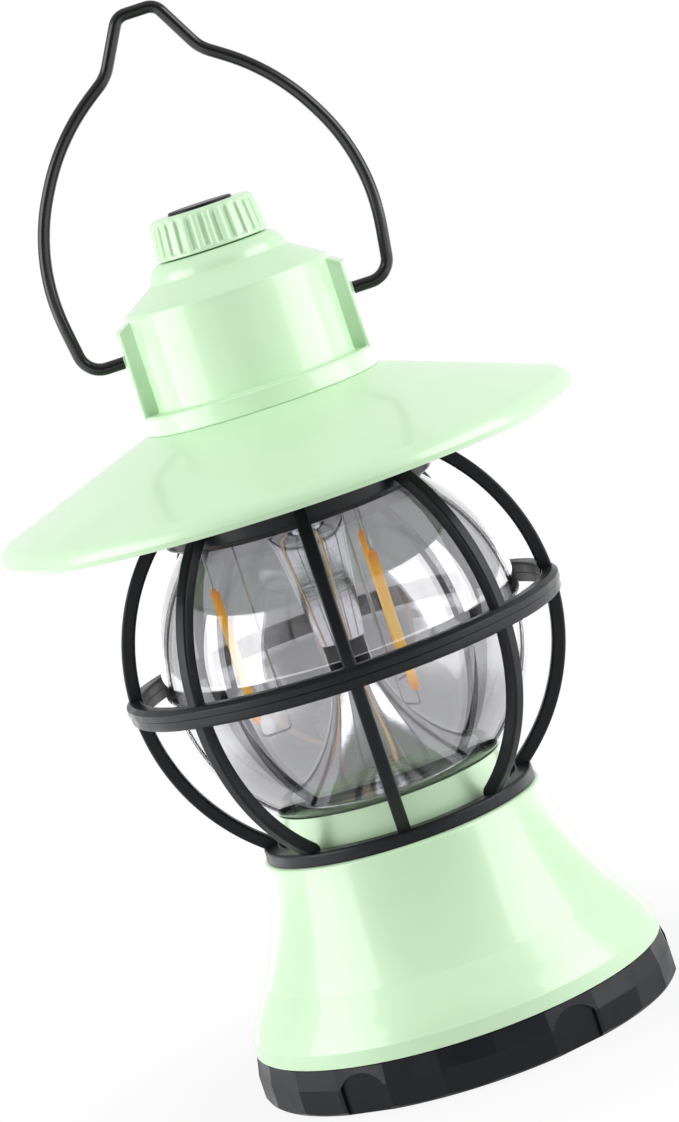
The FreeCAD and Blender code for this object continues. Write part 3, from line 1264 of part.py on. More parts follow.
def make_knob():
    """A tapered cup with a fluted side, a rounded top edge and a hub on the shaft's flat."""
    body = new_body("knob")
    taper = f"((knob_radius - knob_top_radius) / (knob_top - {KNOB_BOTTOM}))"
    shoulder = "(knob_top - knob_rounding)"
    shoulder_reach = f"(knob_radius - {taper} * ({shoulder} - {KNOB_BOTTOM}))"
    floor = "(knob_top - disc_depth)"
    turned(body, "cup", [
        (0, "hub_clear"),
        ("knob_hub", "hub_clear"),
        ("knob_hub", "knob_roof"),
        ("knob_top_radius - knob_wall", "knob_roof"),
        ("knob_radius - knob_wall", KNOB_BOTTOM),
        ("knob_radius", KNOB_BOTTOM),
        (shoulder_reach, shoulder, "knob_rounding", 1),
        (f"{shoulder_reach} - knob_rounding", "knob_top"),
        ("disc_radius + slip", "knob_top"),
        ("disc_radius + slip", floor),
        (0, floor),
    ])
    bore = new_sketch(body, "bore_plan", "XY_Plane", "hub_clear")
    reach = "(shaft_radius + slip)"
    flat = "(shaft_flat + slip)"
    side = f"sqrt({reach} ^ 2 - {flat} ^ 2)"
    outline(bore, [
        (flat, f"-{side}"),
        (flat, side, reach, 1),
        (f"-{reach}", 0, reach, 1),
    ])
    cut_upwards(bore, "bore", "shaft_top - hub_clear + slip")
    flute = body.newObject("PartDesign::SubtractiveCylinder", "knob_flute")
    flute.AttachmentSupport = [(origin_part(body, "XY_Plane"), "")]
    flute.MapMode = "FlatFace"
    lean = FreeCAD.Rotation(FreeCAD.Vector(0, -1, 0), 5)
    flute.AttachmentOffset = FreeCAD.Placement(FreeCAD.Vector(), lean)
    put(flute, "AttachmentOffset.Rotation.Angle", f"atan({taper})")
    put(flute, "AttachmentOffset.Base.x",
        f"knob_radius - {taper} * (flute_bottom - {KNOB_BOTTOM}) + flute_radius - flute_depth")
    put(flute, "AttachmentOffset.Base.z", "flute_bottom")
    put(flute, "Radius", "flute_radius")
    put(flute, "Height", "flute_length")
    repeated(body, "flutes", [flute], "flute_count")

    disc = new_body("knob_disc")
    top = "(knob_top + disc_proud)"
    turned(disc, "disc", [
        (0, floor),
        ("disc_radius", floor),
        ("disc_radius", f"{top} - disc_rounding", "disc_rounding", 1),
        ("disc_radius - disc_rounding", top),
        (0, top),
    ])


def make_bail():
    """A round wire: its two ends point inwards as pins, and it rises to a small hanging loop at the top."""
    body = new_body("bail")
    side = [
        ("bail_foot", "bail_height", "foot_bend"),
        ("bail_width", "width_height", "width_bend"),
        ("arch_reach", "arch_height", "arch_bend"),
        ("hook_reach", "hook_height", "hook_bend"),
        ("peak_reach", "peak_height", "peak_bend"),
    ]
    left = [(f"-{x}", height, bend) for x, height, bend in side]
    route = new_sketch(body, "route")
    rounded_path(route, [("-pin_reach", "bail_height")] + left + side[::-1] + [("pin_reach", "bail_height")])
    section = new_sketch(body, "section", "YZ_Plane", "-pin_reach")
    circle(section, 0, "bail_height", "wire_radius")
    wire = add_feature(section, "AdditivePipe", "wire")
    wire.Spine = route


# ---------------------------------------------------------------- assembly

def make_all():
    make_foot_pad()
    make_battery_cover()
    make_base_shell()
    make_battery_tray()
    make_batteries()
    make_globe_seat()
    make_globe()
    make_gaskets()
    make_cage_lower()
    make_cage_upper()
    make_reflector_lower()
    make_reflector_upper()
    make_waist()
    for index in range(int(value("filament_count"))):
        make_filament(index)
    make_boards()
    make_top_hub()
    make_shade()
    make_neck_housing()
    make_driver()
    make_dimmer()
    make_knob()
    make_bail()


def check_and_write():
    """Stop on any failed object or bad solid, then write one STEP file for each node."""
    DOC.recompute()
    failed = [item.Label for item in DOC.Objects if {"Invalid", "Error"} & set(item.State)]
    if failed:
        raise RuntimeError(f"failed: {failed}")
    os.makedirs("parts", exist_ok=True)
    for node in NODES:
        shape = node.Shape
        if shape.isNull() or not shape.isValid() or not shape.Solids:
            raise RuntimeError(f"bad solid: {node.Label}")
        shape.exportStep(f"parts/{node.Label}.step")
        print(f"{node.Label}: {len(shape.Solids)} solid(s), {shape.Volume:.1f} mm3")


make_all()
check_and_write()
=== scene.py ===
import json
import math

import bmesh
import bpy
import numpy as np
from mathutils import Matrix, Vector

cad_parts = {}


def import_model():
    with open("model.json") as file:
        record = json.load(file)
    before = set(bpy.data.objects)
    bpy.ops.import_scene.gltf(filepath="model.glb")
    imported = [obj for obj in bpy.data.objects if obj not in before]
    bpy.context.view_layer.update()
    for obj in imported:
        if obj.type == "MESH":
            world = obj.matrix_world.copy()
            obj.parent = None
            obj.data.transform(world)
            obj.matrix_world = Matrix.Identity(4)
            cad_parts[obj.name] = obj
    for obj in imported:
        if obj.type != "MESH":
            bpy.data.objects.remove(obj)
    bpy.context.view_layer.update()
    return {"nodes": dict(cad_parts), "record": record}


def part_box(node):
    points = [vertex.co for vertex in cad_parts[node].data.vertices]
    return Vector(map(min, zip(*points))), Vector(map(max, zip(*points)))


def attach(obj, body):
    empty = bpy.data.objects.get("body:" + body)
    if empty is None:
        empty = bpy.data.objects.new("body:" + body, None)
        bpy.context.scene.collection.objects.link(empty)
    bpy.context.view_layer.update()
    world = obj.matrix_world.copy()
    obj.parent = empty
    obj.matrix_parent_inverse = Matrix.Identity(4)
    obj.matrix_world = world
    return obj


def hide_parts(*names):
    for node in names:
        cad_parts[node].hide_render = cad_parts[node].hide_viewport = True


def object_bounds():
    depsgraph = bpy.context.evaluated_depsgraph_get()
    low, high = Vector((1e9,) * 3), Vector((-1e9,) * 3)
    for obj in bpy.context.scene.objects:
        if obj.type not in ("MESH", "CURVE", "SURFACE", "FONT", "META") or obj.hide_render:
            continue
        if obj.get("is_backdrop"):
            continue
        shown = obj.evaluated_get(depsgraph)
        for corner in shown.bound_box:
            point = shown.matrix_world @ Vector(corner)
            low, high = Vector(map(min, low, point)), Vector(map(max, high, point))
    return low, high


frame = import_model()
MM = 0.001
FLUTES = 27
SLOTS = {part["node"]: part["material_slot"] for part in frame["record"]["subparts"]}
BODIES = {node: body for body, nodes in frame["record"]["behaviour"]["bodies"].items() for node in nodes}


def corners_of(node):
    """The lowest and the highest corner of a node at rest, in millimetres."""
    low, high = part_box(node)
    return np.array(low) / MM, np.array(high) / MM


# ------------------------------------------------------------------ outlines and surfaces, in millimetres

def smooth(share):
    """0 up to 0, 1 from 1 on, and 3 s^2 - 2 s^3 between."""
    share = np.clip(share, 0, 1)
    return share * share * (3 - 2 * share)


def rounded(corners, turns=6):
    """An outline of corners (x, y, radius), each rounded by an arc that touches both of its sides.

    The arc's centre lies on the line that halves the corner, radius / cos(lean) from it, where lean is
    half the angle that the arc turns through. A point on each side next to the arc keeps the sides flat.
    A corner whose radius is 0 stays one point, as on a curve that is divided already.
    """
    corners = np.array(corners, float)
    point, radius = corners[:, :2], corners[:, 2]
    back = np.roll(point, 1, axis=0) - point
    ahead = np.roll(point, -1, axis=0) - point
    back /= np.maximum(np.linalg.norm(back, axis=1), 1e-9)[:, None]
    ahead /= np.maximum(np.linalg.norm(ahead, axis=1), 1e-9)[:, None]
    lean = math.pi / 2 - np.arccos(np.clip((back * ahead).sum(axis=1), -1, 1)) / 2
    inward, across = back + ahead, ahead - back
    inward /= np.maximum(np.linalg.norm(inward, axis=1), 1e-9)[:, None]
    across /= np.maximum(np.linalg.norm(across, axis=1), 1e-9)[:, None]
    centre = point + inward * np.where(radius > 0, radius / np.maximum(np.cos(lean), 1e-6), 0)[:, None]
    angle = lean[:, None] * np.linspace(-1, 1, turns)
    arcs = centre[:, None] + radius[:, None, None] * (
        across[:, None] * np.sin(angle)[..., None] - inward[:, None] * np.cos(angle)[..., None])
    room = 0.35 * radius[:, None]
    rows = np.concatenate([(arcs[:, 0] + back * room)[:, None], arcs, (arcs[:, -1] + ahead * room)[:, None]], 1)
    used = (radius[:, None] > 0) | (np.arange(turns + 2) == 1)
    return rows[used]


def bow(first, last, radius, count=24):
    """Corners on the shorter arc between two points. It bulges to the left of the way, or to the right if radius
    is negative. Its centre stands sqrt(radius^2 - (chord / 2)^2) off the middle of the chord."""
    first, last = np.array(first, float), np.array(last, float)
    chord = last - first
    length = np.linalg.norm(chord)
    left = np.array([-chord[1], chord[0]]) / length * math.copysign(1, radius)
    centre = (first + last) / 2 - left * math.sqrt(radius ** 2 - (length / 2) ** 2)
    start, end = (math.atan2(*(point - centre)[::-1]) for point in (first, last))
    turn = (end - start + math.pi) % (2 * math.pi) - math.pi
    angle = start + turn * np.linspace(0, 1, count)
    return np.stack([centre[0] + abs(radius) * np.cos(angle), centre[1] + abs(radius) * np.sin(angle), 0 * angle], 1)


def turned(outline, bearings=192, x=0.0, y=0.0):
    """An outline of (radius, height) turned about an upright axis: radius * cos and radius * sin of the bearing."""
    bearing = np.linspace(0, 2 * math.pi, bearings, endpoint=False)
    radius, height = outline[:, 0, None], outline[:, 1, None]
    return np.stack([x + radius * np.cos(bearing), y + radius * np.sin(bearing), height + 0 * bearing], -1)


def repeated(grid, count):
    """The same grid at count even bearings about the upright axis."""
    bearing = np.arange(count) * 2 * math.pi / count
    turn = np.zeros((count, 3, 3))
    turn[:, 0, 0] = turn[:, 1, 1] = np.cos(bearing)
    turn[:, 0, 1], turn[:, 1, 0] = -np.sin(bearing), np.sin(bearing)
    turn[:, 2, 2] = 1
    return list(np.einsum("nij,abj->nabi", turn, grid))


def capped(grid):
    """A grid with each end row closed by one point in the row's middle."""
    ends = [np.broadcast_to(grid[row].mean(axis=0), grid[row].shape)[None] for row in (0, -1)]
    return np.concatenate([ends[0], grid, ends[1]])


def quads(rows, columns, closed):
    """The corner numbers of a grid's faces. Its columns run round; its rows do too where closed is true."""
    down, across = np.meshgrid(np.arange(rows if closed else rows - 1), np.arange(columns), indexing="ij")
    below, beside = (down + 1) % rows, (across + 1) % columns
    return np.stack([down * columns + across, down * columns + beside,
                     below * columns + beside, below * columns + across], -1).reshape(-1, 4)


def make_piece(name, node, grids, closed=False):
    """One mesh of several grids of points in millimetres. It stands for a node and rides on that node's body."""
    faces, points, start = [], [], 0
    for grid in grids:
        rows, columns = grid.shape[:2]
        faces.append(quads(rows, columns, closed) + start)
        points.append(grid.reshape(-1, 3))
        start += rows * columns
    points, faces = np.concatenate(points) * MM, np.concatenate(faces)
    mesh = bpy.data.meshes.new(name)
    mesh.vertices.add(len(points))
    mesh.vertices.foreach_set("co", points.ravel())
    mesh.loops.add(faces.size)
    mesh.loops.foreach_set("vertex_index", faces.ravel())
    mesh.polygons.add(len(faces))
    mesh.polygons.foreach_set("loop_start", np.arange(0, faces.size, 4))
    mesh.update(calc_edges=True)
    work = bmesh.new()
    work.from_mesh(mesh)
    bmesh.ops.remove_doubles(work, verts=work.verts, dist=1e-6)
    bmesh.ops.recalc_face_normals(work, faces=work.faces)
    work.to_mesh(mesh)
    work.free()
    mesh.shade_smooth()
    made = bpy.data.objects.new(name, mesh)
    bpy.context.scene.collection.objects.link(made)
    made.data.materials.append(FINISHES[SLOTS[node]])
    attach(made, BODIES[node])
    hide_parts(node)
    return made


# ------------------------------------------------------------------ shader nodes

class Shade:
    """One output of a shader node. Arithmetic on it adds Math nodes to its tree."""

    def __init__(self, tree, socket=None):
        self.tree = tree
        self.socket = socket

    def node(self, kind, settings=None, inputs=None, out=0):
        """Adds a node: its settings first, then the values or links of its sockets. Gives one output."""
        made = self.tree.nodes.new(kind)
        for name, setting in (settings or {}).items():
            if name == "stops":
                ramp = made.color_ramp
                while len(ramp.elements) < len(setting):
                    ramp.elements.new(1.0)
                for element, (place, colour) in zip(ramp.elements, setting):
                    element.position = place
                    element.color = (*colour, 1.0)
            else:
                setattr(made, name, setting)
        for name, given in (inputs or {}).items():
            if isinstance(given, Shade):
                self.tree.links.new(given.socket, made.inputs[name])
            else:
                made.inputs[name].default_value = given
        return Shade(self.tree, made.outputs[out])

    def math(self, operation, *given):
        return self.node("ShaderNodeMath", {"operation": operation}, dict(enumerate(given)))

    def __add__(self, other):
        return self.math("ADD", self, other)

    __radd__ = __add__

    def __sub__(self, other):
        return self.math("SUBTRACT", self, other)

    def __rsub__(self, other):
        return self.math("SUBTRACT", other, self)

    def __mul__(self, other):
        return self.math("MULTIPLY", self, other)

    __rmul__ = __mul__

    def __truediv__(self, other):
        return self.math("DIVIDE", self, other)

    def __gt__(self, other):
        return self.math("GREATER_THAN", self, other)

    def __pow__(self, other):
        return self.math("POWER", self, other)

    def step(self, low, high):
        """0 below low, 1 above high, and a smooth rise between."""
        settings = {"interpolation_type": "SMOOTHSTEP"}
        return self.node("ShaderNodeMapRange", settings, {0: self, 1: low, 2: high})


def srgb(red, green, blue):
    """A colour given as eight-bit display values, in the linear values that a shader takes."""
    shares = np.array([red, green, blue]) / 255
    linear = np.where(shares <= 0.04045, shares / 12.92, ((shares + 0.055) / 1.055) ** 2.4)
    return tuple(float(share) for share in linear)


class Finish:
    """A material under construction: one Principled BSDF, and helpers that share its tree."""

    def __init__(self, name, **constants):
        self.material = bpy.data.materials.new(name)
        self.material.use_nodes = True
        self.tree = self.material.node_tree
        self.shader = self.tree.nodes["Principled BSDF"]
        for socket, given in constants.items():
            self.shader.inputs[socket.replace("_", " ")].default_value = given
        self.any = Shade(self.tree)

    def link(self, socket, given):
        self.tree.links.new(given.socket, self.shader.inputs[socket])

    def place(self, out="Object"):
        """Object coordinates, in metres."""
        return self.any.node("ShaderNodeTexCoord", out=out)

    def axes(self):
        """The three Object coordinates as numbers."""
        made = self.any.node("ShaderNodeSeparateXYZ", inputs={0: self.place()})
        outputs = made.socket.node.outputs
        return [Shade(self.tree, outputs[axis]) for axis in range(3)]

    def noise(self, scale, detail=2.0, roughness=0.5, stretch=(1, 1, 1)):
        """Noise from 0 to 1 whose lumps are 1 / scale metres across, drawn out along each axis by stretch."""
        sizes = tuple(1.0 / share for share in stretch)
        where = self.any.node("ShaderNodeMapping", inputs={"Vector": self.place(), "Scale": sizes})
        return self.any.node("ShaderNodeTexNoise", inputs={
            "Vector": where, "Scale": scale, "Detail": detail, "Roughness": roughness})

    def mix(self, share, first, second):
        """A colour between two colours."""
        def given(colour):
            return colour if isinstance(colour, Shade) else (*colour, 1.0)
        return self.any.node("ShaderNodeMix", {"data_type": "RGBA"}, {
            0: share, 6: given(first), 7: given(second)}, out=2)

    def bump(self, height, depth, strength=1.0):
        """A Bump node whose height of 1 stands depth metres high, linked to Normal."""
        self.link("Normal", self.any.node("ShaderNodeBump", inputs={
            "Height": height, "Distance": depth, "Strength": strength}))


def glossy_mint():
    """Polished moulded plastic: a faint orange peel, hardly visible smears, and slow changes of shade."""
    made = Finish("glossy_mint", IOR=1.5, Coat_Roughness=0.12, Coat_IOR=1.5)
    cloud = made.noise(38, 2.0)
    smear = made.noise(95, 3.0, stretch=(1, 1, 3))
    peel = made.noise(420, 1.0)
    made.link("Base Color", made.mix(cloud.step(0.3, 0.7), srgb(196, 229, 190), srgb(201, 232, 195)))
    made.link("Roughness", 0.33 + 0.06 * smear)
    made.shader.inputs["Coat Weight"].default_value = 0.45
    made.bump(peel, 0.004 * MM, 0.3)
    return made.material


def satin_black(name, colour, low, high, grain, depth, gloss=0.2):
    """Moulded black plastic with a fine grain; handling has polished it unevenly."""
    made = Finish(name, IOR=1.5, Specular_IOR_Level=gloss)
    wear = made.noise(120, 3.0)
    pits = made.noise(grain, 2.0, 0.6)
    darker = tuple(0.8 * share for share in colour)
    made.link("Base Color", made.mix(pits.step(0.3, 0.7), darker, colour))
    made.link("Roughness", low + (high - low) * wear.step(0.3, 0.7))
    made.bump(pits, depth, 0.6)
    return made.material


def mirror_chrome():
    """Vacuum-metallised plastic: bright, with the faint rings that turning the mould left."""
    made = Finish("mirror_chrome", Metallic=1.0)
    x, y, z = made.axes()
    rings = made.noise(5200, 2.0, stretch=(400, 400, 1))
    haze = made.noise(140, 3.0)
    made.link("Base Color", made.mix(haze.step(0.3, 0.8), srgb(240, 240, 242), srgb(226, 227, 231)))
    made.link("Roughness", 0.02 + 0.05 * haze.step(0.4, 0.8))
    made.bump(rings, 0.02 * MM, 1.0)
    return made.material


def plated(name, colour, grain):
    """Nickel plate with fine drawing lines."""
    made = Finish(name, Metallic=1.0)
    lines = made.noise(grain, 2.0, stretch=(1, 1, 12))
    shade = tuple(0.72 * share for share in colour)
    made.link("Base Color", made.mix(lines.step(0.3, 0.7), shade, colour))
    made.link("Roughness", 0.22 + 0.16 * lines)
    made.bump(lines, 0.01 * MM, 0.3)
    return made.material


def smoky_clear():
    """Clear plastic with a grey tint. Its hardly visible flow lines run upwards from the mould's gate."""
    made = Finish("smoky_clear", IOR=1.6, Transmission_Weight=1.0, Coat_Weight=0.9, Coat_Roughness=0.0,
                  Coat_IOR=1.55)
    flow = made.noise(24, 1.0, stretch=(1, 1, 3))
    made.link("Base Color", made.mix(flow.step(0.3, 0.7), (0.56, 0.56, 0.58), (0.60, 0.60, 0.62)))
    made.shader.inputs["Roughness"].default_value = 0.0
    made.bump(flow, 0.08 * MM, 0.4)
    return made.material


def soft_rubber():
    made = Finish("soft_rubber", IOR=1.45)
    grain = made.noise(1500, 2.0)
    made.link("Base Color", made.mix(grain, srgb(26, 26, 28), srgb(44, 44, 46)))
    made.link("Roughness", 0.65 + 0.2 * grain)
    made.bump(grain, 0.02 * MM, 0.6)
    return made.material


def glowing_phosphor(low, high):
    """The phosphor coat of a filament: orange at its ends, pale amber where it burns brightest."""
    made = Finish("glowing_phosphor", IOR=1.45)
    x, y, z = made.axes()
    along = (z - low) / (high - low)
    grain = made.noise(1800, 2.0)
    tone = made.any.node("ShaderNodeValToRGB", {"stops": [
        (0.0, srgb(226, 140, 32)), (0.13, srgb(250, 184, 70)), (0.5, srgb(255, 216, 130)),
        (0.8, srgb(252, 186, 66)), (1.0, srgb(224, 128, 26))]}, {0: along + 0.06 * (grain - 0.5)})
    made.link("Base Color", tone)
    made.link("Emission Color", tone)
    made.shader.inputs["Emission Strength"].default_value = 0.85
    made.link("Roughness", 0.4 + 0.3 * grain)
    made.bump(grain, 0.05 * MM, 0.8)
    return made.material


def circuit_board():
    made = Finish("circuit_board", IOR=1.5)
    weave = made.noise(700, 2.0)
    made.link("Base Color", made.mix(weave, srgb(226, 226, 220), srgb(238, 238, 233)))
    made.link("Roughness", 0.35 + 0.15 * weave)
    made.bump(weave, 0.01 * MM, 0.5)
    return made.material


def cell_sleeve():
    """Printed sleeve of a plain cell: dark grey, with lighter scuffs."""
    made = Finish("cell_sleeve", IOR=1.5)
    x, y, z = made.axes()
    scuff = made.noise(260, 3.0)
    made.link("Base Color", made.mix(scuff.step(0.4, 0.7), srgb(60, 64, 72), srgb(72, 76, 84)))
    made.link("Roughness", 0.3 + 0.2 * scuff)
    made.bump(scuff, 0.01 * MM, 0.3)
    return made.material


def wire_sleeve():
    made = Finish("wire_sleeve", IOR=1.5)
    x, y, z = made.axes()
    grain = made.noise(500, 2.0)
    made.link("Base Color", made.mix((x + y) > 0, srgb(150, 28, 22), srgb(28, 28, 30)))
    made.link("Roughness", 0.45 + 0.15 * grain)
    return made.material


filament_low, filament_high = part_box("filament_1")
FINISHES = {
    "green_plastic": glossy_mint(),
    "black_plastic": satin_black("satin_black", srgb(22, 24, 28), 0.3, 0.44, 1400, 0.01 * MM),
    "dark_plastic": satin_black("dark_moulding", srgb(48, 48, 52), 0.4, 0.55, 1100, 0.02 * MM),
    "coated_wire": satin_black("coated_wire", srgb(13, 14, 15), 0.16, 0.24, 1600, 0.002 * MM, 0.4),
    "rubber": soft_rubber(),
    "clear_plastic": smoky_clear(),
    "chrome": mirror_chrome(),
    "nickel": plated("nickel_plate", srgb(205, 202, 196), 900),
    "cell": cell_sleeve(),
    "board": circuit_board(),
    "filament": glowing_phosphor(filament_low.z, filament_high.z),
    "wire": wire_sleeve(),
}
for node, piece in frame["nodes"].items():
    piece.data.materials.clear()
    piece.data.materials.append(FINISHES[SLOTS[node]])


# ------------------------------------------------------------------ the lantern's own pieces

def make_globe():
    """A ball with an upright rim at each end: two arcs about one centre, a wall apart."""
    low, high = corners_of("globe")
    wall, foot, crown, radius = 2.0, 24.2, 26.4, high[0]
    middle = low[2] + 2.4 + math.sqrt(radius ** 2 - foot ** 2)

    def rim(reach, size, side):
        return reach, middle + side * math.sqrt(size ** 2 - reach ** 2)

    inside = radius - wall
    outline = np.vstack([
        [(foot - wall, low[2], 0.3), (foot, low[2], 0.3), (*rim(foot, radius, -1), 0.5)],
        bow(rim(foot, radius, -1), (radius, middle), -radius, 34)[1:],
        bow((radius, middle), rim(crown, radius, 1), -radius, 34)[1:-1],
        [(*rim(crown, radius, 1), 0.5), (crown, high[2], 0.3), (crown - wall, high[2], 0.3)],
        bow(rim(crown - wall, inside, 1), (inside, middle), inside, 34),
        bow((inside, middle), rim(foot - wall, inside, -1), inside, 34)[1:],
    ])
    make_piece("globe_shell", "globe", [turned(rounded(outline))], closed=True)


def make_trumpets():
    """The chrome reflector: two flared tubes, back to back, each between two arcs about one centre."""
    low, high = corners_of("reflector_lower")
    waist, wall, reach = 5.0, 1.0, high[0]
    foot = low[2]
    outline = np.vstack([
        bow((waist - wall, high[2]), (reach - 2 * wall, foot), -35, 44),
        [(reach, foot, 0.25), (reach, foot + 0.8, 0.3)],
        bow((reach, foot + 0.8), (waist, high[2]), 34, 44)[1:-1],
        [(waist, high[2], 0.25)],
    ])
    make_piece("trumpet_lower", "reflector_lower", [turned(rounded(outline), 256)], closed=True)

    low, high = corners_of("reflector_upper")
    shoulder, flare, lean = 15.6, 8.0, math.radians(8)
    top = high[2]

    def start(radius):
        return shoulder - radius * math.cos(lean), top - wall - flare + radius * math.sin(lean)

    outline = np.vstack([
        [(waist - wall, low[2], 0.2), (waist, low[2], 0.25)],
        bow(start(flare), (shoulder, top - wall), flare, 24),
        [(high[0], top - wall, 0.3), (high[0], top, 0.3)],
        bow((shoulder, top), start(flare + wall), -(flare + wall), 24),
    ])
    make_piece("trumpet_upper", "reflector_upper", [turned(rounded(outline), 256)], closed=True)


def make_filaments():
    """Each filament is a rod of phosphor whose radius swells from a bare tip through a thin neck to the full coat."""
    for index in (1, 2, 3):
        low, high = corners_of(f"filament_{index}")
        x, y = (low[:2] + high[:2]) / 2
        full = (high[0] - low[0]) / 2
        half = [(0, 0, 0), (0.5, 0, 0.15), (0.5, 0.8, 0.1), (full, 1.0, 0.35)]
        lower = [(radius, low[2] + rise, bend) for radius, rise, bend in half]
        upper = [(radius, high[2] - rise, bend) for radius, rise, bend in reversed(half)]
        make_piece(f"filament_rod_{index}", f"filament_{index}", [turned(rounded(lower + upper), 32, x, y)])


def make_knob():
    """A tapered cup. Its side sinks where cos(27 * bearing) is high, which leaves wide hollows between ridges."""
    low, high = corners_of("knob")
    radius, top_radius, top, bottom = 12.4, 11.45, high[2], low[2]
    well, roof = top - 1.2, top - 3.3
    height = np.linspace(top - 2.6, bottom + 0.5, 24)
    side = np.stack([radius + (top_radius - radius) * (height - bottom) / (top - bottom), height, 0 * height], 1)
    outline = rounded(np.vstack([
        [(0, well, 0), (7.15, well, 0.15), (7.15, top, 0.35), (top_radius, top, 1.7)], side,
        [(radius, bottom, 0.3), (radius - 1.8, bottom, 0.2), (top_radius - 1.8, roof, 0.5), (5.2, roof, 0.5),
         (5.2, top - 6.1, 0.2), (3.06, top - 6.1, 0.2), (3.06, top - 2.7, 0.2), (0, top - 2.7, 0)]]), 9)
    grid = turned(outline, FLUTES * 16)
    wave = np.cos(FLUTES * np.linspace(0, 2 * math.pi, FLUTES * 16, endpoint=False))
    hollow = smooth((wave + 0.6) / 1.1)
    reach, rise = outline[:, 0, None], outline[:, 1, None]
    share = smooth((rise - bottom - 0.5) / 0.7) * smooth((top - 0.3 - rise) / 1.5) * (reach > top_radius - 1.4)
    grid[..., :2] *= (1 - 0.62 * hollow * share / np.maximum(reach, 1))[..., None]
    make_piece("fluted_knob", "knob", [grid])


def rib(foot, head, middle, inner_limit):
    """A bar of rounded square section on an arc about the cage's centre: distance * (cos, sin) of the elevation,
    which runs between the two heights, and no nearer to the axis than inner_limit."""
    half_width, half_depth, distance = 1.45, 1.5, 46.8
    section = rounded([(-half_depth, -half_width, 0.55), (half_depth, -half_width, 0.55),
                       (half_depth, half_width, 0.55), (-half_depth, half_width, 0.55)])
    ring = distance + section[:, 0]
    first, last = (np.arcsin((height - middle) / ring) for height in (foot, head))
    share = np.linspace(0, 1, 40)[:, None]
    elevation = first + (last - first) * share
    x = np.maximum(ring * np.cos(elevation), inner_limit + 0.02 * section[:, 0])
    return np.stack([x, section[:, 1] + 0 * elevation, middle + ring * np.sin(elevation)], -1)


def make_cage():
    """Rings turned about the axis, and eight ribs between them."""
    lower, upper = corners_of("cage_lower"), corners_of("cage_upper")
    seam, bottom, top = lower[1][2], lower[0][2] + 2.5, upper[1][2]
    middle, reach = seam - 0.1, upper[1][0]
    foot_ring = rounded([(27.0, bottom, 0.3), (30.7, bottom, 0.3), (30.7, bottom + 3, 0.7), (27.0, bottom + 3, 0.5)])
    lower_band = rounded([(reach - 3.6, seam - 2.3, 0.5), (reach - 0.3, seam - 2.3, 0.7),
                          (reach - 0.3, seam, 0.2), (reach - 3.6, seam, 0.1)])
    ribs = repeated(capped(rib(bottom + 2.3, seam, middle, 27.4)), 8)
    rings = [turned(outline) for outline in (foot_ring, lower_band)]
    rings = [np.concatenate([grid, grid[:1]]) for grid in rings]
    make_piece("cage_lower_half", "cage_lower", rings + ribs)

    upper_band = rounded([(reach - 3.6, seam, 0.1), (reach, seam, 0.2), (reach, seam + 1.5, 0.35),
                          (reach - 0.9, seam + 2.4, 0.35), (reach - 3.6, seam + 2.4, 0.5)])
    crown = rounded([(26.9, top - 5.5, 0.25), (27.7, top - 5.5, 0.25), (30.0, top - 4.3, 0.5), (30.0, top, 0.15),
                     (18.0, top, 0.2), (18.0, top - 2, 0.2), (26.9, top - 2, 0.3)])
    ribs = repeated(capped(rib(seam, top, middle, 29.2)), 8)
    rings = [turned(outline) for outline in (upper_band, crown)]
    rings = [np.concatenate([grid, grid[:1]]) for grid in rings]
    make_piece("cage_upper_half", "cage_upper", rings + ribs)


def make_neck():
    """The drum with its flange, shoulder and collar, and the two lugs, each an outline drawn upwards."""
    low, high = corners_of("neck_housing")
    foot, top, radius, flange = low[2], high[2], 22.8, high[0]
    shoulder = foot + 25.8
    outline = np.vstack([
        [(20.8, foot, 0.2), (flange, foot, 0.35), (flange, foot + 4.5, 0.7), (radius, foot + 4.5, 0.6),
         (radius, shoulder, 1.1), (15.2, shoulder + 4.7, 1.0)],
        bow((14.9, shoulder + 5.9), (12.4, top), -4.2, 10),
        [(3.56, top, 0.2), (3.56, top - 2, 0.2), (10.4, top - 2, 0.5), (10.4, top - 6.2, 0.5),
         (13.75, top - 6.2, 0.5), (20.8, shoulder - 1, 0.5)],
    ])
    drum = turned(rounded(outline))
    drum = np.concatenate([drum, drum[:1]])

    half, inside = 6.4, 19.5
    face = math.sqrt(flange ** 2 - half ** 2)
    plan = rounded(np.vstack([
        [(inside, -half, 0.2), (face, -half, 0.7)],
        bow((face, -half), (face, half), -flange, 20)[1:-1],
        [(face, half, 0.7), (inside, half, 0.2)]]))
    ear_top = shoulder - 1.0
    side = rounded([(0, foot + 4.0, 0), (0, ear_top - 1.6, 0.5), (3.1, ear_top, 0.3), (6.0, ear_top, 0)])
    share = (plan[:, 0] - inside) / (flange - inside)
    x = plan[:, 0] - share * side[:, 0, None]
    lug = np.stack([x, plan[:, 1] + 0 * x, side[:, 1, None] + 0 * x], -1)
    make_piece("neck_drum", "neck_housing", [drum] + repeated(capped(lug), 2))


make_globe()
make_trumpets()
make_filaments()
make_knob()
make_cage()
make_neck()


# ------------------------------------------------------------------ floor, light and camera

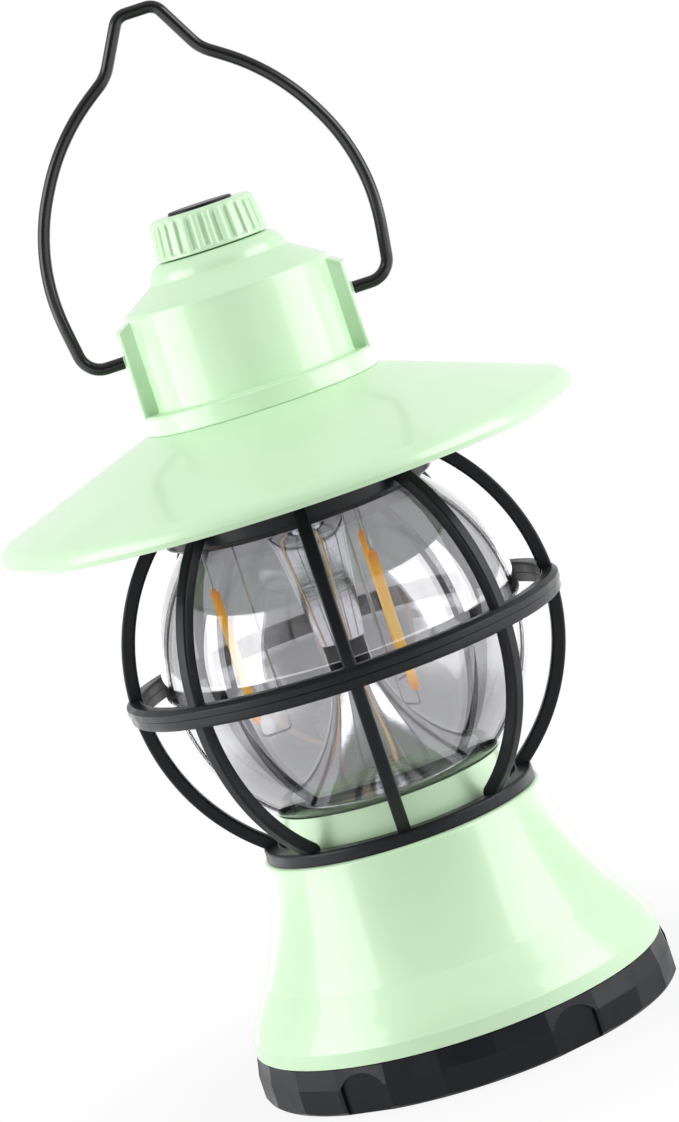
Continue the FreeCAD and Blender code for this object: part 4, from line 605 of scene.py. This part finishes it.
def paper_floor():
    """Pale paper. It keeps the object's shadow near the object and is plain white farther off."""
    made = Finish("paper_floor", Base_Color=(0.5, 0.5, 0.5, 1), Roughness=0.9)
    x, y, z = made.axes()
    reach = (x * x + y * y) ** 0.5
    seen = made.any.node("ShaderNodeLightPath")
    outputs = seen.socket.node.outputs
    rays = [Shade(made.tree, outputs[name]) for name in (
        "Is Camera Ray", "Is Glossy Ray", "Is Transmission Ray")]
    mirrored = Shade(made.tree, outputs["Glossy Depth"]) > 0.5
    aside = (x * x).step(0.008, 0.04)
    glow = made.any.node("ShaderNodeEmission", inputs={
        "Color": (1, 1, 1, 1), "Strength": 1.0 + 1.3 * mirrored * aside})
    share = (rays[0] + rays[1] + rays[2]) * (0.9 + 0.1 * reach.step(0.05, 0.12))
    own = Shade(made.tree, made.shader.outputs[0])
    mixed = made.any.node("ShaderNodeMixShader", inputs={0: share, 1: own, 2: glow})
    made.tree.links.new(mixed.socket, made.tree.nodes["Material Output"].inputs["Surface"])
    return made.material


def floor():
    mesh = bpy.data.meshes.new("floor")
    side = 3.0
    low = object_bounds()[0].z
    mesh.from_pydata([(-side, -side, low), (side, -side, low), (side, side, low), (-side, side, low)],
                     [], [(0, 1, 2, 3)])
    mesh.materials.append(paper_floor())
    piece = bpy.data.objects.new("floor", mesh)
    bpy.context.scene.collection.objects.link(piece)
    piece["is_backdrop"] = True


def world():
    """A white tent. It is darker to a mirror in front, and lights the lantern more from above."""
    made = bpy.data.worlds.new("studio")
    made.use_nodes = True
    tree = made.node_tree
    tree.nodes.clear()
    any_node = Shade(tree)
    way = any_node.node("ShaderNodeTexCoord", out="Generated")
    sides = any_node.node("ShaderNodeSeparateXYZ", inputs={0: way}).socket.node.outputs
    back, up = Shade(tree, sides[1]), Shade(tree, sides[2])
    path = any_node.node("ShaderNodeLightPath").socket.node.outputs
    seen, mirrored, matt = (Shade(tree, path[name]) for name in (
        "Is Camera Ray", "Glossy Depth", "Is Diffuse Ray"))
    mirrored = mirrored > 0.5
    front = (0 - back).step(0.5, 0.85)
    tent = 1.0 - 0.72 * front * mirrored
    lit = 0.1 + 0.62 * up.step(-0.1, 1.0)
    strength = tent + matt * (lit - tent)
    glow = any_node.node("ShaderNodeBackground", inputs={"Color": (1, 1, 1, 1), "Strength": strength})
    out = tree.nodes.new("ShaderNodeOutputWorld")
    tree.links.new(glow.socket, out.inputs["Surface"])
    bpy.context.scene.world = made


def softbox(name, place, aim, width, height, power):
    light = bpy.data.lights.new(name, "AREA")
    light.shape = "RECTANGLE"
    light.size, light.size_y = width, height
    light.energy = power
    lamp = bpy.data.objects.new(name, light)
    lamp.location = place
    lamp.rotation_euler = (Vector(aim) - Vector(place)).to_track_quat("-Z", "Y").to_euler()
    bpy.context.scene.collection.objects.link(lamp)


def camera():
    """A long lens a little above the lantern's middle, rolled so that the lantern leans to the left."""
    data = bpy.data.cameras.new("camera")
    data.sensor_width = 36
    data.lens = 125.1
    cam = bpy.data.objects.new("camera", data)
    bpy.context.scene.collection.objects.link(cam)
    bpy.context.scene.camera = cam
    distance, rise, roll, aside = 0.845, math.radians(7.7), math.radians(-18.2), 0.0047
    target = Vector((0, 0, 0.1085))
    back = Vector((0, -math.cos(rise), math.sin(rise)))
    turn = (-back).to_track_quat("-Z", "Y").to_matrix()
    place = target + back * distance + turn @ Vector((aside, 0, 0))
    cam.matrix_world = Matrix.Translation(place) @ (turn @ Matrix.Rotation(roll, 3, "Z")).to_4x4()


floor()
world()
softbox("softbox_left", (-0.82, -0.24, 0.38), (0, 0, 0.12), 0.72, 0.72, 7.2)
softbox("softbox_right", (0.82, -0.24, 0.38), (0, 0, 0.12), 0.72, 0.72, 7.2)
camera()
bpy.context.scene.view_settings.view_transform = "Standard"
